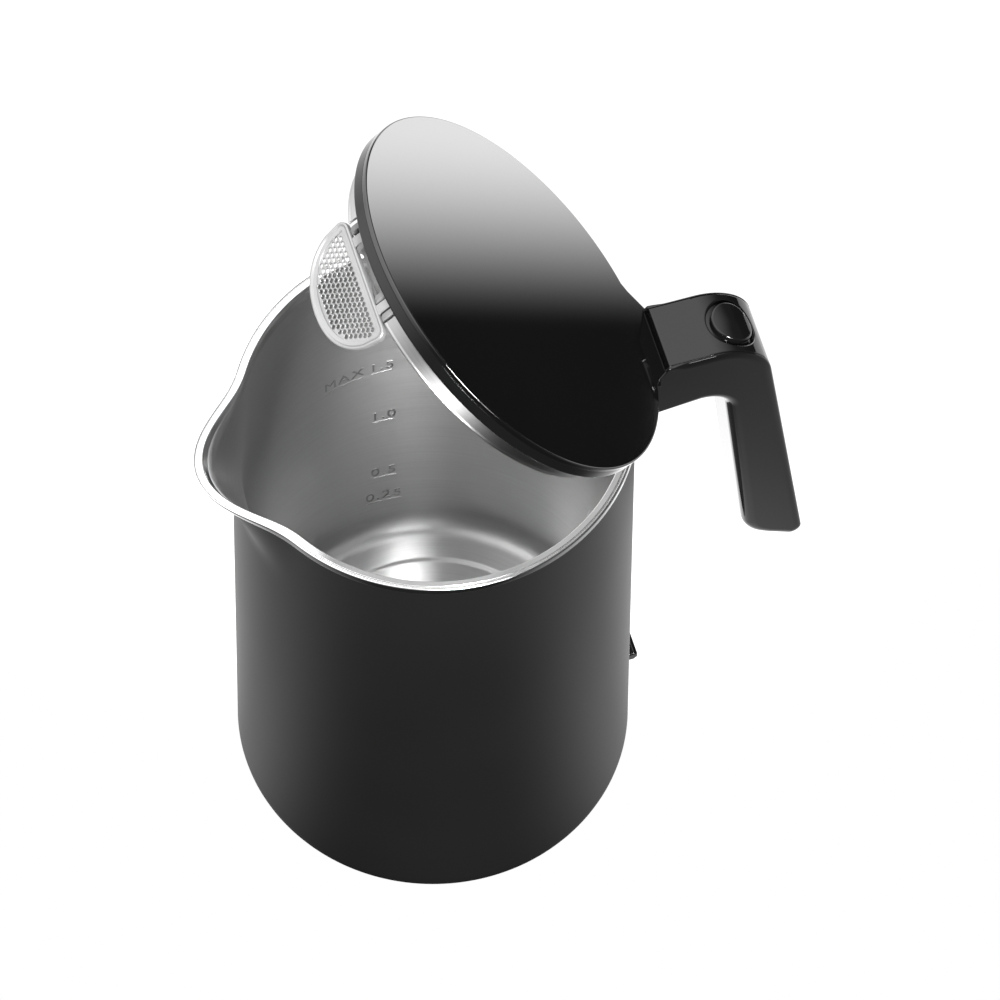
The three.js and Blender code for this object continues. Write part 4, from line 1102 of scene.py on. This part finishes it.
def make_floor():
    """Pale floor that glows evenly to the lens. To the body its light falls off in a wedge in
    front, is weaker further out, and comes back behind."""
    mesh = bpy.data.meshes.new("studio_floor")
    mesh.from_pydata([(-6, -6, 0), (6, -6, 0), (6, 6, 0), (-6, 6, 0)], [], [(0, 1, 2, 3)])
    floor = bpy.data.objects.new("studio_floor", mesh)
    bpy.context.scene.collection.objects.link(floor)
    pale, tree, light = emitter("pale_floor")
    place = tree.nodes.new("ShaderNodeTexCoord")
    turn = tree.nodes.new("ShaderNodeMapping")
    turn.vector_type = "POINT"
    turn.inputs["Location"].default_value = (-AXIS_X * MM * math.cos(AZIMUTH),
                                             AXIS_X * MM * math.sin(AZIMUTH), 0)
    turn.inputs["Rotation"].default_value = (0, 0, -AZIMUTH)
    unit = tree.nodes.new("ShaderNodeVectorMath")
    unit.operation = "NORMALIZE"
    split = tree.nodes.new("ShaderNodeSeparateXYZ")
    path = tree.nodes.new("ShaderNodeLightPath")
    wire_nodes(tree, (place.outputs["Object"], turn.inputs["Vector"]), (turn.outputs[0], unit.inputs[0]),
               (unit.outputs[0], split.inputs[0]))
    reach = tree.nodes.new("ShaderNodeVectorMath")
    reach.operation = "LENGTH"
    tree.links.new(turn.outputs[0], reach.inputs[0])
    wedge = math_node(tree, "MULTIPLY", smooth_ramp(tree, split.outputs[1], -0.92, -0.1, 0.03, 0.8),
                      smooth_ramp(tree, reach.outputs["Value"], 0.12, 0.2, 1.0, 0.45))
    behind = smooth_ramp(tree, split.outputs[1], -0.15, 0.5, 0.0, 0.75)
    strength = math_node(tree, "MAXIMUM", path.outputs["Is Camera Ray"],
                         math_node(tree, "ADD", wedge, behind))
    tree.links.new(strength, light.inputs["Strength"])
    mesh.materials.append(pale)


def make_lid_card():
    """Card that the open lid mirrors to the lens: bright above, fading smoothly to black below."""
    normal = np.array([math.sin(LID_OPEN), 0, math.cos(LID_OPEN)])
    mirrored = -BACK - 2 * (-BACK @ normal) * normal
    level = np.cross(normal, UP)
    level /= np.linalg.norm(level)
    rise = np.cross(level, mirrored)
    rise *= np.sign(rise @ np.cross(level, normal)) / np.linalg.norm(rise)
    centre = swung(np.array([0, 0, LID_TOP])) + [AXIS_X, 0, 0] + 420 * mirrored + CARD_MID * rise
    corners = [centre + level * a * 105 + rise * b for a, b in ((-1, -150), (1, -150), (1, 75), (-1, 75))]
    mesh = bpy.data.meshes.new("lid_card")
    mesh.from_pydata([(c * MM).tolist() for c in corners], [], [(0, 1, 2, 3)])
    mesh.uv_layers.new(name="surface").data.foreach_set("uv", [0, -0.15, 1, -0.15, 1, 0.075, 0, 0.075])
    card = bpy.data.objects.new("lid_card", mesh)
    bpy.context.scene.collection.objects.link(card)
    glow, tree, light = emitter("card_glow")
    place, split = tree.nodes.new("ShaderNodeUVMap"), tree.nodes.new("ShaderNodeSeparateXYZ")
    tree.links.new(place.outputs["UV"], split.inputs[0])
    fade = smooth_ramp(tree, split.outputs[1], -CARD_FADE, CARD_FADE, 0.015, 3.85)
    tree.links.new(fade, light.inputs["Strength"])
    mesh.materials.append(glow)
    card.visible_camera = False
    card.visible_shadow = False


def make_studio():
    """World, floor, the lid's card, a soft light in front and a narrow one above."""
    make_world()
    make_floor()
    make_lid_card()
    area_light("front_softbox", (0.15, -1.5, 1.0), (0, 0, 0.2), (0.5, 0.35), 6)
    area_light("top_softbox", (-0.06, -0.92, 1.05), (0, 0, 0.2), (0.22, 0.5), 44)
    bpy.context.scene.view_settings.view_transform = "Standard"


GROUPS = {"fine_grain": fine_grain_group(), "brushing": brushing_group(), "painted_edge_highlight": painted_highlight_group()}
M = make_materials()
place_camera()
make_studio()
finish_cad_nodes()
make_shell()
make_vessel()
make_rim()
make_marks()
make_lid_face()
make_lid_band()
make_neck_end()
make_skirt()
make_pan()
make_filter_frame()
make_filter_sheet()
make_holder()
make_handle_shell()
make_cover()
make_button()
make_lever()
make_base()
make_steam_tube()
